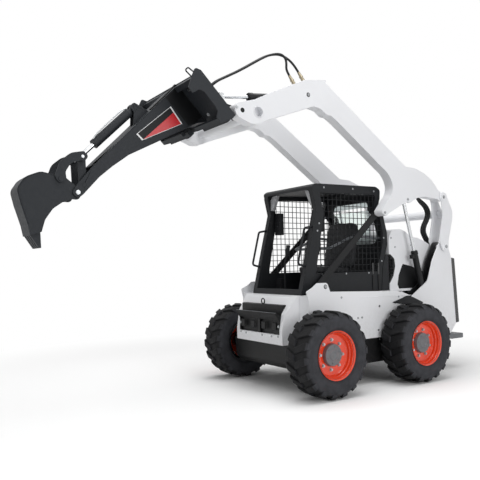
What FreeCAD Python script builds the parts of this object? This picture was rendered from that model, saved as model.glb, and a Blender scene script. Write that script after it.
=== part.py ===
import FreeCAD, Part
import math
import os
import re
from FreeCAD import Vector, Placement, Rotation

# Skid steer loader with a backhoe attachment on its quick coupler. Millimetres.
# Front is -Y, the machine's left is +X, the ground is z = 0. The tables below give
# y from the front axle, and every node is shifted along Y by front_axle_y.

os.makedirs("parts", exist_ok=True)
doc = FreeCAD.newDocument("loader")
sheet = doc.addObject("Spreadsheet::Sheet", "sizes")
sheet.Label = "sizes"

# Driving sizes: alias, value, meaning
SIZES = (
    ("front_axle_y", 174.35, "shift of the front axle from the frame's origin"),
    ("wheelbase", 1232, "front axle to rear axle"),
    ("axle_height", 402, "wheel centre above the ground"),
    ("tyre_tip_radius", 402, "over the tread lugs"),
    ("tyre_carcass_radius", 382, "between the lugs"),
    ("tyre_inner_face", 579, "inboard sidewall plane"),
    ("tyre_outer_face", 886, "outboard sidewall plane"),
    ("lug_count", 18, "chevron lugs a side of each tyre"),
    ("rim_seat_radius", 210, "bead seat of the rim"),
    ("rim_flange_radius", 226, "outer flange of the rim"),
    ("rim_disc_x", 772, "inner plane of the wheel disc"),
    ("hub_radius", 104, "grey hub cap"),
    ("stub_radius", 55, "axle end in the wheel hub"),
    ("stub_clearance", 0.05, "running clearance in bores, radial"),
    ("side_x", 560, "outer face of the chassis side plates"),
    ("plate_thickness", 12, "chassis and tower plate"),
    ("nose_x", 389, "half width of the front plate"),
    ("belly_top", 465, "underside of the tub"),
    ("belly_bottom", 215, "ground clearance"),
    ("tower_inner_x", 456, "inboard face of each rear tower"),
    ("cab_half", 410, "half width of the cab"),
    ("cab_wall", 34, "thickness of the cab's side frames"),
    ("hood_half", "=tower_inner_x - 32", "half width of the engine hood"),
    ("arm_inner_x", 460, "inboard face of a lift arm"),
    ("arm_outer_x", 572, "outboard face of a lift arm"),
    ("cross_tube_radius", 52, "cross tube between the arms"),
    ("link_plate", 12, "plate of the rear link"),
    ("link_inner_x", 438, "inboard plate of the rear link"),
    ("link_outer_x", 577, "outboard plate of the rear link"),
    ("link_tube_radius", 48, "cross tube between the rear links"),
    ("pin_radius", 22, "pivot pins"),
    ("lift_cylinder_x", 508, "plane of the lift cylinders"),
    ("lift_barrel_radius", 34, "lift cylinder barrel"),
    ("lift_rod_radius", 19, "lift cylinder rod"),
    ("tilt_cylinder_x", 412, "plane of the tilt cylinders"),
    ("tilt_barrel_radius", 38, "tilt cylinder barrel"),
    ("tilt_rod_radius", 18, "tilt cylinder rod"),
    ("coupler_half", 559, "half width of the quick coupler"),
    ("dump_angle", 45, "attachment pitch in the stored pose"),
    ("coupler_y", -835, "coupler plate's lower edge, y"),
    ("coupler_z", 2561, "coupler plate's lower edge, z"),
    ("boom_half", 132, "half width of the backhoe boom"),
    ("boom_plate", 10, "boom side plate"),
    ("bucket_half", 116, "half width of the bucket"),
    ("bucket_plate", 12, "bucket side plate"),
    ("bucket_barrel_radius", 42, "bucket cylinder barrel"),
    ("bucket_rod_radius", 20, "bucket cylinder rod"),
    ("rocker_plate", 12, "rocker side plates"),
    ("coupler_length", 94, "hose coupler from inside the arm to its end"),
    ("hose_radius", 11, "hydraulic hose"),
)
for number, (alias, value, meaning) in enumerate(SIZES, 1):
    sheet.set("A%d" % number, alias)
    sheet.set("B%d" % number, str(value))
    sheet.set("C%d" % number, meaning)
    sheet.setAlias("B%d" % number, alias)
doc.recompute()
S = {alias: float(sheet.get(alias)) for alias, value, meaning in SIZES}

# Pivots on the machine, y and z
REAR_LINK_PIVOT = (1955, 1400)
ARM_REAR_PIVOT = (1940, 1962)
CONTROL_LINK_PIVOT = (154, 1012)
ARM_CONTROL_PIVOT = (995, 1757)
LIFT_BASE_PIN = (1711, 600)
LIFT_ROD_PIN = (1357, 1912)
LIFT_GLAND = 783
FRONT_TUBE = (-604, 2625)
REAR_TUBE = (2036, 1780)
TILT_PIVOT = (-778, 2618)
TILT_BASE_PIN = (-10, 2865)
TILT_ROD_PIN = (-899, 2764)

# Pivots on the backhoe, forward and up from the coupler plate's lower edge
BUCKET_PIVOT = (1403, 421)
ROCKER_PIVOT = (1322, 428)
ROCKER_TOP = (1161, 604)
BUCKET_LINK_PIN = (1426, 592)
BUCKET_BARREL_PIN = (447, 594)


def expression(text):
    return re.sub(r"[a-z_]{3,}", lambda m: "sizes." + m.group(0) if m.group(0) in S else m.group(0), text)


def bind(obj, **props):
    for prop, text in props.items():
        obj.setExpression(prop.replace("__", "."), expression(text))
    return obj


def corner_points(points):
    """Turn (a, b) or (a, b, radius) corners into straight and arc segments."""
    n = len(points)
    cut = []
    for i, p in enumerate(points):
        a, b, c = points[i - 1], p, points[(i + 1) % n]
        r = p[2] if len(p) > 2 else 0
        if not r:
            cut.append(((p[0], p[1]), None, (p[0], p[1])))
            continue
        u = Vector(a[0] - b[0], a[1] - b[1], 0)
        w = Vector(c[0] - b[0], c[1] - b[1], 0)
        lu, lw = u.Length, w.Length
        u.normalize()
        w.normalize()
        half = u.getAngle(w) / 2
        if half > math.radians(89.5):
            cut.append(((p[0], p[1]), None, (p[0], p[1])))
            continue
        t = min(r / math.tan(half), 0.49 * lu, 0.49 * lw)
        r = t * math.tan(half)
        start = (b[0] + u.x * t, b[1] + u.y * t)
        end = (b[0] + w.x * t, b[1] + w.y * t)
        m = u + w
        m.normalize()
        d = r / math.sin(half) - r
        mid = (b[0] + m.x * d, b[1] + m.y * d)
        cut.append((start, mid, end))
    return cut


def segments(points, at):
    """Part curves around a closed outline; at maps (a, b) to a Vector."""
    cut = corner_points(points)
    out = []
    for i, (start, mid, end) in enumerate(cut):
        if mid:
            out.append(Part.Arc(at(*start), at(*mid), at(*end)))
        nxt = cut[(i + 1) % len(cut)][0]
        if math.hypot(nxt[0] - end[0], nxt[1] - end[1]) > 1e-4:
            out.append(Part.LineSegment(at(*end), at(*nxt)))
    return out


def role_plane(body, role):
    return [f for f in body.Origin.OriginFeatures if f.Role == role][0]


def plate(name, points, start, length, holes=(), plane="YZ_Plane"):
    """A body padded from one closed outline. start and length are sheet expressions."""
    body = doc.addObject("PartDesign::Body", name)
    sketch = body.newObject("Sketcher::SketchObject", name + "_outline")
    sketch.AttachmentSupport = (role_plane(body, plane), [""])
    sketch.MapMode = "FlatFace"
    sketch.addGeometry(segments(points, lambda a, b: Vector(a, b, 0)), False)
    for hole in holes:
        if len(hole) == 3:
            sketch.addGeometry(Part.Circle(Vector(hole[0], hole[1], 0), Vector(0, 0, 1), hole[2]), False)
        else:
            sketch.addGeometry(segments(hole, lambda a, b: Vector(a, b, 0)), False)
    pad = body.newObject("PartDesign::Pad", name + "_pad")
    pad.Profile = sketch
    bind(pad, Length=length)
    body.Tip = pad
    axis = {"YZ_Plane": "x", "XZ_Plane": "y", "XY_Plane": "z"}[plane]
    body.setExpression("Placement.Base." + axis, expression(start))
    return body


def tube_x(name, at, radius, start, length):
    """A round bar along X."""
    bar = doc.addObject("Part::Cylinder", name)
    bind(bar, Radius=radius, Height=length)
    bar.Placement = Placement(Vector(0, at[0], at[1]), Rotation(Vector(0, 1, 0), 90))
    bar.setExpression("Placement.Base.x", expression(start))
    return bar


def bar_between(name, a, b, radius, x):
    """A round bar between two points of the plane at x."""
    p, q = Vector(0, a[0], a[1]), Vector(0, b[0], b[1])
    bar = doc.addObject("Part::Cylinder", name)
    bar.Height = (q - p).Length
    bind(bar, Radius=radius)
    bar.Placement = Placement(p, Rotation(Vector(0, 0, 1), q - p))
    bar.setExpression("Placement.Base.x", expression(x))
    return bar


def box(name, x, y, z):
    """A block between pairs of sheet expressions."""
    block = doc.addObject("Part::Box", name)
    for prop, base, (low, high) in (("Length", "x", x), ("Width", "y", y), ("Height", "z", z)):
        block.setExpression(prop, expression("(%s) - (%s)" % (high, low)))
        block.setExpression("Placement.Base." + base, expression(low))
    return block


def feature(name, shape):
    part = doc.addObject("Part::Feature", name)
    part.Shape = shape
    return part


def fuse(name, *parts):
    both = doc.addObject("Part::MultiFuse", name)
    both.Shapes = list(parts)
    return both


def cut(name, base, *tools):
    tool = tools[0] if len(tools) == 1 else fuse(name + "_tools", *tools)
    less = doc.addObject("Part::Cut", name)
    less.Base, less.Tool = base, tool
    return less


def common(name, a, b):
    both = doc.addObject("Part::Common", name)
    both.Base, both.Tool = a, b
    return both


def mirrored(name, part):
    other = doc.addObject("Part::Mirroring", name)
    other.Source = part
    other.Base = Vector(0, 0, 0)
    other.Normal = Vector(1, 0, 0)
    return other


def pair(name, part):
    """The piece and its mirror image as one node."""
    both = doc.addObject("Part::Compound", name)
    both.Links = [part, mirrored(name + "_right", part)]
    return both


def group(name, *parts):
    many = doc.addObject("Part::Compound", name)
    many.Links = list(parts)
    return many


NODES = []


def node(label, part, where="machine"):
    """Give a finished piece its label and its place in the frame."""
    holder = group(label + "_place", part) if part.TypeId != "Part::Compound" else part
    holder.Label = label
    if where == "machine":
        holder.setExpression("Placement.Base.y", expression("front_axle_y"))
    else:
        holder.Placement = Placement(Vector(0, 0, 0), Rotation(Vector(1, 0, 0), S["dump_angle"]))
        holder.setExpression("Placement.Base.y", expression("front_axle_y + coupler_y"))
        holder.setExpression("Placement.Base.z", expression("coupler_z"))
        holder.setExpression("Placement.Rotation.Angle", expression("dump_angle"))
    NODES.append(holder)
    return holder


def link_outline(a, b, ra, rb):
    """A straight link: circles around two pins joined by tangents, as corner points."""
    ax, ay, bx, by = a[0], a[1], b[0], b[1]
    length = math.hypot(bx - ax, by - ay)
    ux, uy = (bx - ax) / length, (by - ay) / length
    nx, ny = -uy, ux
    return [(ax - ux * ra + nx * ra, ay - uy * ra + ny * ra, ra * 0.98),
            (ax - ux * ra - nx * ra, ay - uy * ra - ny * ra, ra * 0.98),
            (bx + ux * rb - nx * rb, by + uy * rb - ny * rb, rb * 0.98),
            (bx + ux * rb + nx * rb, by + uy * rb + ny * rb, rb * 0.98)]


def uw(points):
    """Backhoe outline points, forward and up, as y and z of its own frame."""
    return [(-p[0],) + tuple(p[1:]) for p in points]


def bent_tube(points, radius, bend):
    """A round tube along straight runs joined by tangent arcs of one radius."""
    pts = [Vector(*p) for p in points]
    edges, last = [], pts[0]
    for before, corner, after in zip(pts, pts[1:], pts[2:]):
        u, w = (before - corner).normalize(), (after - corner).normalize()
        half = u.getAngle(w) / 2
        step = bend / math.tan(half)
        start, end = corner + u * step, corner + w * step
        middle = corner + (u + w).normalize() * (bend / math.sin(half) - bend)
        edges.append(Part.makeLine(last, start))
        edges.append(Part.Arc(start, middle, end).toShape())
        last = end
    edges.append(Part.makeLine(last, pts[-1]))
    wire = Part.Wire(edges)
    way = pts[1] - pts[0]
    ring = Part.Wire([Part.makeCircle(radius, pts[0], way)])
    tube = wire.makePipeShell([ring], True, True)
    return tube if tube.isValid() else wire.makePipe(ring)


def cord_tube(points, radius):
    """A free hose: tangent arcs of 0.45 of the shorter run at each route point."""
    pts = [Vector(*p) for p in points]
    edges, last = [], pts[0]
    for before, corner, after in zip(pts, pts[1:], pts[2:]):
        u, w = before - corner, after - corner
        step = 0.45 * min(u.Length, w.Length)
        u.normalize()
        w.normalize()
        half = u.getAngle(w) / 2
        start, end = corner + u * step, corner + w * step
        bend = step * math.tan(half)
        middle = corner + (u + w).normalize() * (bend / math.sin(half) - bend)
        edges.append(Part.makeLine(last, start))
        edges.append(Part.Arc(start, middle, end).toShape())
        last = end
    edges.append(Part.makeLine(last, pts[-1]))
    wire = Part.Wire(edges)
    ring = Part.Wire([Part.makeCircle(radius, pts[0], pts[1] - pts[0])])
    return wire.makePipeShell([ring], True, True)


def inset(points, d):
    """Move every edge of a closed outline inwards by d."""
    n = len(points)
    area = sum(points[i - 1][0] * points[i][1] - points[i][0] * points[i - 1][1] for i in range(n))
    side = 1 if area > 0 else -1
    lines = []
    for i in range(n):
        (ax, ay), (bx, by) = points[i][:2], points[(i + 1) % n][:2]
        length = math.hypot(bx - ax, by - ay)
        nx, ny = -(by - ay) / length * side, (bx - ax) / length * side
        lines.append((ax + nx * d, ay + ny * d, bx - ax, by - ay))
    out = []
    for i in range(n):
        (px, py, dx, dy), (qx, qy, ex, ey) = lines[i - 1], lines[i]
        t = ((qx - px) * ey - (qy - py) * ex) / (dx * ey - dy * ex)
        out.append((px + dx * t, py + dy * t))
    return out


def inside(point, poly):
    hit = False
    for i in range(len(poly)):
        (ax, ay), (bx, by) = poly[i - 1][:2], poly[i][:2]
        if (ay > point[1]) != (by > point[1]) and point[0] < (bx - ax) * (point[1] - ay) / (by - ay) + ax:
            hit = not hit
    return hit


def grid_plate(outline, x, thickness, pitch, bar, border):
    """A screen in the plane at x: an outline with square holes inside a border."""
    inner = inset(outline, border)
    lows = [min(p[i] for p in inner) for i in (0, 1)]
    highs = [max(p[i] for p in inner) for i in (0, 1)]
    wires = [Part.makePolygon([Vector(x, a, b) for a, b in outline + outline[:1]])]
    gap = pitch - bar
    a = lows[0]
    while a + gap <= highs[0]:
        b = lows[1]
        while b + gap <= highs[1]:
            cell = [(a, b), (a + gap, b), (a + gap, b + gap), (a, b + gap)]
            if all(inside(c, inner) for c in cell):
                wires.append(Part.makePolygon([Vector(x, *c) for c in cell + cell[:1]]))
            b += pitch
        a += pitch
    face = Part.makeFace(wires, "Part::FaceMakerBullseye")
    return face.extrude(Vector(thickness, 0, 0))


# Chassis tub: side plates with the control link ears, floor, deck and front nose
SIDE = [(-60, 465), (-60, 880), (-85, 973, 12), (-10, 1008, 30), (52, 1050, 25), (176, 1050, 36),
        (198, 1000, 20), (212, 962, 10), (1103, 931), (1240, 915), (1361, 873), (1361, 465)]
side_plate = plate("side_plate", SIDE, "side_x - plate_thickness", "plate_thickness",
                   holes=[CONTROL_LINK_PIVOT + (S["pin_radius"] + S["stub_clearance"],), (889, 783, 14)])
side_plates = pair("side_plates", side_plate)
floor_plate = box("floor_plate", ("0 - side_x + 2", "side_x - 2"), ("-55", "1355"),
                  ("belly_top", "belly_top + plate_thickness"))
rear_floor = box("rear_floor", ("0.3 - tower_inner_x", "tower_inner_x - 0.3"), ("1340", "2020"),
                 ("belly_top", "belly_top + plate_thickness"))
deck = box("deck", ("0 - side_x + 2", "side_x - 2"), ("-55", "1180"), ("918", "930"))
rear_deck = box("rear_deck", ("0.3 - tower_inner_x", "tower_inner_x - 0.3"), ("1170", "2020"), ("918", "930"))
footwell = box("footwell", ("80 - cab_half", "cab_half - 80"), ("70", "455"), ("900", "960"))
bulkhead_parts = []
for bulkhead_number, bulkhead_y in enumerate((690, 1343)):
    bulkhead_parts.append(box("bulkhead_%d" % bulkhead_number, ("-460", "460"),
                              (str(bulkhead_y), "%d + plate_thickness" % bulkhead_y), ("470", "925")))
NOSE_PLAN = [(-548, -60), (-440, -75), (-389, -254), (389, -254), (440, -75), (548, -60), (548, -40), (-548, -40)]
NOSE_SIDE = [(-254, 465), (-254, 600, 30), (-225, 760, 60), (-105, 918, 50), (-60, 930), (-30, 930), (-30, 465)]
nose_plan = plate("nose_plan", NOSE_PLAN, "belly_top", "930 - belly_top", plane="XY_Plane")
nose_side = plate("nose_side", NOSE_SIDE, "0 - side_x", "2*side_x")
nose_inner_plan = plate("nose_inner_plan", [(-530, -50), (-432, -65), (-381, -244), (381, -244), (432, -65),
                        (530, -50), (530, -20), (-530, -20)], "belly_top + 8", "440", plane="XY_Plane")
nose_inner_side = plate("nose_inner_side", [(-246, 473), (-246, 598, 26), (-217, 755, 55), (-101, 909, 46),
                        (-60, 921), (-10, 921), (-10, 473)], "0 - side_x", "2*side_x")
step_recess = box("step_recess", ("-345", "345"), ("-262", "-168"), ("560", "845"))
nose = cut("nose", common("nose_outer", nose_plan, nose_side),
           common("nose_inner", nose_inner_plan, nose_inner_side), step_recess)
deck_cut = cut("deck_open", fuse("decks", deck, rear_deck), footwell)
tub = fuse("tub", side_plate, mirrored("side_plate_right", side_plate), floor_plate, rear_floor, deck_cut, nose,
           *bulkhead_parts)
node("chassis_tub", tub)

# Front step: a black stepped box let into the nose, with a visor and a lifting ring
STEP = [(-250, 560.3), (-250, 690), (-292, 752), (-300, 770), (-286, 774), (-232, 738), (-214, 742), (-214, 838),
        (-196, 844.7), (-168.3, 844.7), (-168.3, 560.3)]
step_body = plate("step_body", STEP, "0 - 344.7", "2*344.7")
step_sides = [box("step_notch_%d" % n, (low, high), ("-310", "-225"), ("560", "700"))
              for n, (low, high) in enumerate((("-330", "-20"), ("20", "250")))]
step_ring = doc.addObject("Part::Torus", "step_ring")
bind(step_ring, Radius1="26", Radius2="6")
step_ring.Placement = Placement(Vector(0, -191, 870), Rotation(Vector(1, 0, 0), 90))
node("front_step", fuse("step_all", cut("step_cut", step_body, *step_sides), step_ring))

# Chaincases and belly: a black tray under the tub
BELLY = [(-188, 465), (-170, 270, 40), (-120, 215, 40), (1300, 215, 30), (1352, 262, 30), (1352, 465)]
belly_outer = plate("belly_outer", BELLY, "-540", "1080")
belly_inner = plate("belly_inner", [(-176, 480), (-158, 274, 36), (-114, 227, 36), (1296, 227, 26),
                                    (1340, 266, 26), (1340, 480)], "-390", "780")
node("chaincase", cut("belly", belly_outer, belly_inner))

# Axle stubs, one at each wheel
stub_parts = []
for axle, axle_y in (("front", "0"), ("rear", "wheelbase")):
    stub = tube_x("stub_" + axle, (0, 0), "stub_radius", "540", "228")
    collar = tube_x("stub_collar_" + axle, (0, 0), "92", "side_x + 0.3", "100")
    whole = fuse("stub_whole_" + axle, stub, collar)
    whole.setExpression("Placement.Base.y", expression(axle_y))
    whole.setExpression("Placement.Base.z", expression("axle_height"))
    stub_parts += [whole, mirrored("stub_right_" + axle, whole)]
node("axle_stubs", group("axle_stub_group", *stub_parts))

# Wheels: rim, tyre carcass and lugs turned and placed at the left front, copied to the rest
bore = S["stub_radius"] + S["stub_clearance"]
disc, seat, flange = S["rim_disc_x"], S["rim_seat_radius"], S["rim_flange_radius"]
inner, outer = S["tyre_inner_face"] + 12, S["tyre_outer_face"] - 12
RIM = [(700, bore), (770, bore), (770, 0), (830, 0), (830, 78), (816, S["hub_radius"] - 8),
       (disc + 14, S["hub_radius"]), (disc + 14, seat - 26), (disc + 26, seat - 12), (outer - 14, seat - 8),
       (outer - 3, flange - 8), (outer, flange), (outer - 7, flange), (outer - 11, seat), (inner + 11, seat),
       (inner + 7, flange), (inner, flange), (inner + 4, seat - 2), (inner + 12, seat - 8), (disc - 12, seat - 8),
       (disc, seat - 16), (disc, 95), (700, 95)]
carcass, tip = S["tyre_carcass_radius"], S["tyre_tip_radius"]
near, far = S["tyre_inner_face"], S["tyre_outer_face"]
TYRE = [(inner + 11.3, seat + 0.3), (inner + 8, flange + 4), (near + 2, 262), (near, 300), (near + 5, 345),
        (near + 22, 370), (near + 62, carcass), (far - 62, carcass), (far - 22, 370), (far - 5, 345),
        (far, 300), (far - 2, 262), (outer - 8, flange + 4), (outer - 11.3, seat + 0.3)]


def turned(name, points):
    """A body revolved about X from a closed (x, radius) outline."""
    body = doc.addObject("PartDesign::Body", name)
    sketch = body.newObject("Sketcher::SketchObject", name + "_section")
    sketch.AttachmentSupport = (role_plane(body, "XY_Plane"), [""])
    sketch.MapMode = "FlatFace"
    sketch.addGeometry(segments(points, lambda a, b: Vector(a, b, 0)), False)
    spin = body.newObject("PartDesign::Revolution", name + "_turn")
    spin.Profile = sketch
    spin.ReferenceAxis = (sketch, ["H_Axis"])
    spin.Angle = 360
    body.Tip = spin
    return body


rim_left = turned("rim_left", RIM)
tyre_carcass = turned("tyre_carcass", TYRE)
doc.recompute()
lugs = []
for lug_side in (-1, 1):
    middle_x = (near + far) / 2
    for number in range(int(S["lug_count"])):
        step = 360 / S["lug_count"]
        lug = Part.makeBox(142, 40, tip - 357, Vector(-71, -20, 358))
        lug.rotate(Vector(0, 0, 0), Vector(0, 0, 1), -24 * lug_side)
        lug.translate(Vector(lug_side * 72, 0, 0))
        lug.translate(Vector(middle_x, 0, 0))
        lug.rotate(Vector(0, 0, 0), Vector(1, 0, 0), step * (number + (0.5 if lug_side > 0 else 0)))
        lugs.append(lug)
tread = tyre_carcass.Shape.fuse(lugs)
tread = tread.common(Part.makeCylinder(tip, far - near, Vector(near, 0, 0), Vector(1, 0, 0)))
tyre_left = feature("tyre_left", tread)
WHEELS = (("front_left", 1, "0"), ("front_right", -1, "0"), ("rear_left", 1, "wheelbase"),
          ("rear_right", -1, "wheelbase"))
for wheel, hand, axle_y in WHEELS:
    for kind, source in (("tyre", tyre_left), ("rim", rim_left)):
        piece = source if hand > 0 else mirrored(kind + "_mirror_" + wheel, source)
        held = group("%s_%s_held" % (kind, wheel), piece)
        held.Label = "%s_%s" % (kind, wheel)
        held.setExpression("Placement.Base.y", expression("front_axle_y + " + axle_y))
        held.setExpression("Placement.Base.z", expression("axle_height"))
        NODES.append(held)

# Rear towers: two plates and a rear web each, open in front for the lift cylinder
TOWER = [(1361.3, 849), (1660, 1020, 90), (1747, 1242, 120), (1880, 1450, 60), (2005, 1456, 55),
         (2073, 1290, 60), (2122, 515, 30), (2027, 417, 20), (1361.3, 417)]
tower_bores = [REAR_LINK_PIVOT + (S["pin_radius"] + S["stub_clearance"],),
               LIFT_BASE_PIN + (S["pin_radius"] + S["stub_clearance"],)]
tower_solid = plate("tower_solid", TOWER, "tower_inner_x", "side_x - tower_inner_x", holes=tower_bores)
tower_hollow = plate("tower_hollow", [(1300, 431), (2020, 431), (2107, 520), (2058, 1284), (2058, 1600),
                     (1300, 1600)], "tower_inner_x + plate_thickness",
                     "side_x - tower_inner_x - 2*plate_thickness")
tower_left = cut("tower_left", tower_solid, tower_hollow)
tower_pair = pair("rear_tower_pair", tower_left)

# Rear bumper under the towers
BUMPER = [(1990, 372), (2050, 345), (2253, 345, 10), (2253, 399, 10), (2095, 399), (2027, 416.7), (1990, 416.7)]
bumper = plate("bumper_bar", BUMPER, "-555", "1110")
bumper_gap = box("bumper_gap", ("-400", "400"), ("1980", "2090"), ("340", "420"))
node("rear_bumper", cut("bumper_cut", bumper, bumper_gap))

# Black fender piece over each rear wheel
fender = plate("fender_plate", [(1080, 815), (1236, 853), (1295, 872), (1345, 872), (1420, 845), (1560, 790),
                                (1540, 770), (1380, 825), (1236, 830), (1120, 800)], "side_x + 0.3", "10")
node("rear_fenders", pair("fender_pair", fender))

# Cab: hollow black frame with its side, front and rear windows cut, and two grab handles
CAB = [(-28, 930.3), (193, 1780), (140, 2012, 30), (185, 2040, 30), (1040, 2052, 60), (1106, 2020, 40),
       (1098, 1926, 30), (1062, 1815, 20), (1140, 1755, 40), (1195, 1560, 60), (1190, 1420, 60), (1150, 1300, 40),
       (1110, 1180, 40), (1085, 930.3)]
CAB_ROOM = [(22, 880), (22, 960), (238, 1775), (190, 1985, 20), (1045, 2020, 40), (1070, 1990, 20),
            (1062, 1935, 20), (1030, 1815, 20), (1108, 1742, 30), (1163, 1555, 50), (1158, 1430, 50),
            (1120, 1310, 30), (1078, 1185, 30), (1053, 960), (1053, 880)]
WINDOW = [(168, 1140), (292, 1742), (244, 1950), (1012, 1962), (1030, 1935), (1000, 1822), (1090, 1722),
          (1128, 1560), (1122, 1440), (1092, 1330), (1040, 1190), (1030, 1140)]
cab_outer = plate("cab_outer", CAB, "0 - cab_half", "2*cab_half")
cab_room = plate("cab_room", CAB_ROOM, "cab_wall - cab_half", "2*cab_half - 2*cab_wall")
cab_side_window = plate("cab_side_window", WINDOW, "-500", "1000")
opening = S["cab_half"] - 58
cab_front_opening = plate("cab_front_opening", [(-opening, 985), (-opening, 1985, 40), (opening, 1985, 40), (opening, 985)],
                          "265", "365", plane="XZ_Plane")
pane = S["cab_half"] - 125
cab_rear_window = plate("cab_rear_window", [(-pane, 1440, 60), (-pane, 1900, 60), (pane, 1900, 60), (pane, 1440, 60)],
                        "1300", "280", plane="XZ_Plane")
cab_frame = cut("cab_cut", cab_outer, cab_room, cab_side_window, cab_front_opening, cab_rear_window)
grip = S["cab_half"] - 22
HANDLE = [(grip, 172, 1612), (grip, 52, 1592), (grip, -42, 1236), (grip, 62, 1212)]
handle = feature("handle", bent_tube(HANDLE, 11, 26))
node("cab_shell", fuse("cab_fuse", cab_frame, handle, mirrored("handle_right", handle)))

# Side screens: welded wire grids in the cab's side windows
doc.recompute()
screen_outline = inset(WINDOW, 0.3)
screen = feature("screen", grid_plate(screen_outline, S["cab_half"] - 16, 6, 62, 9, 16))
node("side_screens", pair("screen_pair", screen))

# Rear window glass of the cab
pane -= 0.3
glass = plate("glass_plate", [(-pane, 1440.3, 60), (-pane, 1899.7, 60), (pane, 1899.7, 60),
                              (pane, 1440.3, 60)], "1076", "5", plane="XZ_Plane")
glass_clip = plate("glass_clip", CAB, "110 - cab_half", "2*cab_half - 220")
node("rear_glass", common("glass_trim", glass, glass_clip))

# Work lamps in the cab's upper front corners
edge = opening - 0.3
LAMP = [(-edge, 1944), (-edge, 1826), (32 - edge, 1826), (116 - edge, 1984.7), (40 - edge, 1984.7)]
lamp = plate("lamp_wedge", LAMP, "232", "38", plane="XZ_Plane")
node("work_lamps", pair("lamp_pair", lamp))

# Seat
seat_base = box("seat_base", ("-190", "190"), ("470", "840"), ("930.1", "1119.9"))
seat_bottom = plate("seat_bottom", [(430, 1120, 20), (430, 1215, 50), (820, 1195, 40), (860, 1120, 20)], "-235", "470")
seat_back = plate("seat_back", [(800, 1150, 20), (900, 1700, 50), (985, 1690, 40), (905, 1150, 20)], "-235", "470")
node("seat_cushion", fuse("seat_fuse", seat_bottom, seat_back))

# Lap bar: a bent tube pivoted on the cab's side frames over the seat
inside_x = S["cab_half"] - S["cab_wall"] - 0.2
LAP = [(-inside_x, 1144, 1500), (70 - inside_x, 1144, 1500), (76 - inside_x, 800, 1525), (86 - inside_x, 470, 1395),
       (inside_x - 86, 470, 1395), (inside_x - 76, 800, 1525), (inside_x - 70, 1144, 1500), (inside_x, 1144, 1500)]
node("lap_bar", feature("lap_tube", bent_tube(LAP, 14, 34)))

# Control levers on posts, instrument pods under the roof, and the seat's pedestal
post_x = S["cab_half"] - 148
lever_post = feature("lever_post", bent_tube([(post_x, 300, 930), (post_x, 300, 1240), (post_x - 7, 330, 1340)], 10, 30))
lever_grip = doc.addObject("Part::Cone", "lever_grip")
bind(lever_grip, Radius1="19", Radius2="24", Height="110")
lever_grip.Placement = Placement(Vector(post_x - 7, 328, 1335), Rotation(Vector(1, 0, 0), -12))
footwell_rail = box("footwell_rail", ("cab_half - 185", "cab_half - 80.3"), ("262", "338"), ("930", "948"))
lever_pod = box("lever_pod", ("cab_half - 110", "cab_half - cab_wall - 0.3"), ("262", "338"), ("930.3", "1080"))
lever_pair = pair("lever_pair", fuse("lever_whole", lever_post, lever_grip, footwell_rail, lever_pod))
pod_pair = pair("pod_pair", box("pod", ("cab_half - 110", "cab_half - cab_wall - 0.3"), ("262", "330"), ("1560", "1800")))
node("cab_controls", group("cab_control_group", lever_pair, pod_pair, seat_base))

# Engine: one plain block on the rear floor, with its radiator in front of the tailgate
node("engine_block", box("engine", ("-300", "300"), ("1420", "1900"), ("belly_top + plate_thickness", "900")))

# Engine hood: a white hollow cover with a round shoulder and two side openings
HOOD = [(1205, 930.3), (1205, 1500, 70), (1262, 1594, 60), (1392, 1598, 70), (1476, 1572, 60), (1545, 1520, 60),
        (1680, 1502, 60), (1802, 1460, 60), (1960, 1390, 60), (2050, 1300, 60), (2050, 930.3)]
HOOD_ROOM = [(1213, 900), (1213, 1496, 62), (1267, 1586, 52), (1389, 1590, 62), (1472, 1565, 52), (1541, 1512, 52),
             (1678, 1494, 52), (1799, 1452, 52), (1955, 1383, 52), (2042, 1296, 52), (2042, 900)]
D_WINDOW = [(1190, 985), (1190, 1322), (1225, 1322, 20), (1284, 1274, 40), (1296, 1190, 60), (1265, 1084, 60)]
SIDE_HOLE = [(1413, 1214, 20), (1345, 1092, 60), (1322, 990, 20), (1345, 942, 10), (1680, 942, 20), (1812, 1022, 30),
             (1848, 1098, 15), (1767, 1114, 30), (1551, 1187, 30)]
hood_outer = plate("hood_outer", HOOD, "0 - hood_half", "2*hood_half")
hood_room = plate("hood_room", HOOD_ROOM, "8 - hood_half", "2*hood_half - 16")
hood_window = plate("hood_window", D_WINDOW, "hood_half - 40", "60")
hood_hole = plate("hood_hole", SIDE_HOLE, "-600", "1200")
node("engine_hood", cut("hood_cut", hood_outer, hood_room, hood_window, mirrored("hood_window_right", hood_window),
                        hood_hole))


def rounded(points, like):
    """Put the corner radii of one outline on another."""
    return [p[:2] + old[2:] for p, old in zip(points, like)]


side_cover = plate("side_cover", rounded(inset(SIDE_HOLE, 0.5), SIDE_HOLE), "hood_half - 12", "9")
doc.recompute()
grid_outline = inset(D_WINDOW, 0.5)
grid_plain = feature("engine_grid_plain", grid_plate(grid_outline, S["hood_half"] - 8, 5, 34, 6, 5))
grid_clip = plate("engine_grid_clip", rounded([(1205.5, 990), (1205.5, 1321.5)] + grid_outline[2:], D_WINDOW),
                  "hood_half - 20", "30")
grid = common("engine_grid", grid_plain, grid_clip)
node("engine_side_screens", group("engine_screen_group", side_cover, mirrored("side_cover_right", side_cover),
                                  grid, mirrored("engine_grid_right", grid)))

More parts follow.
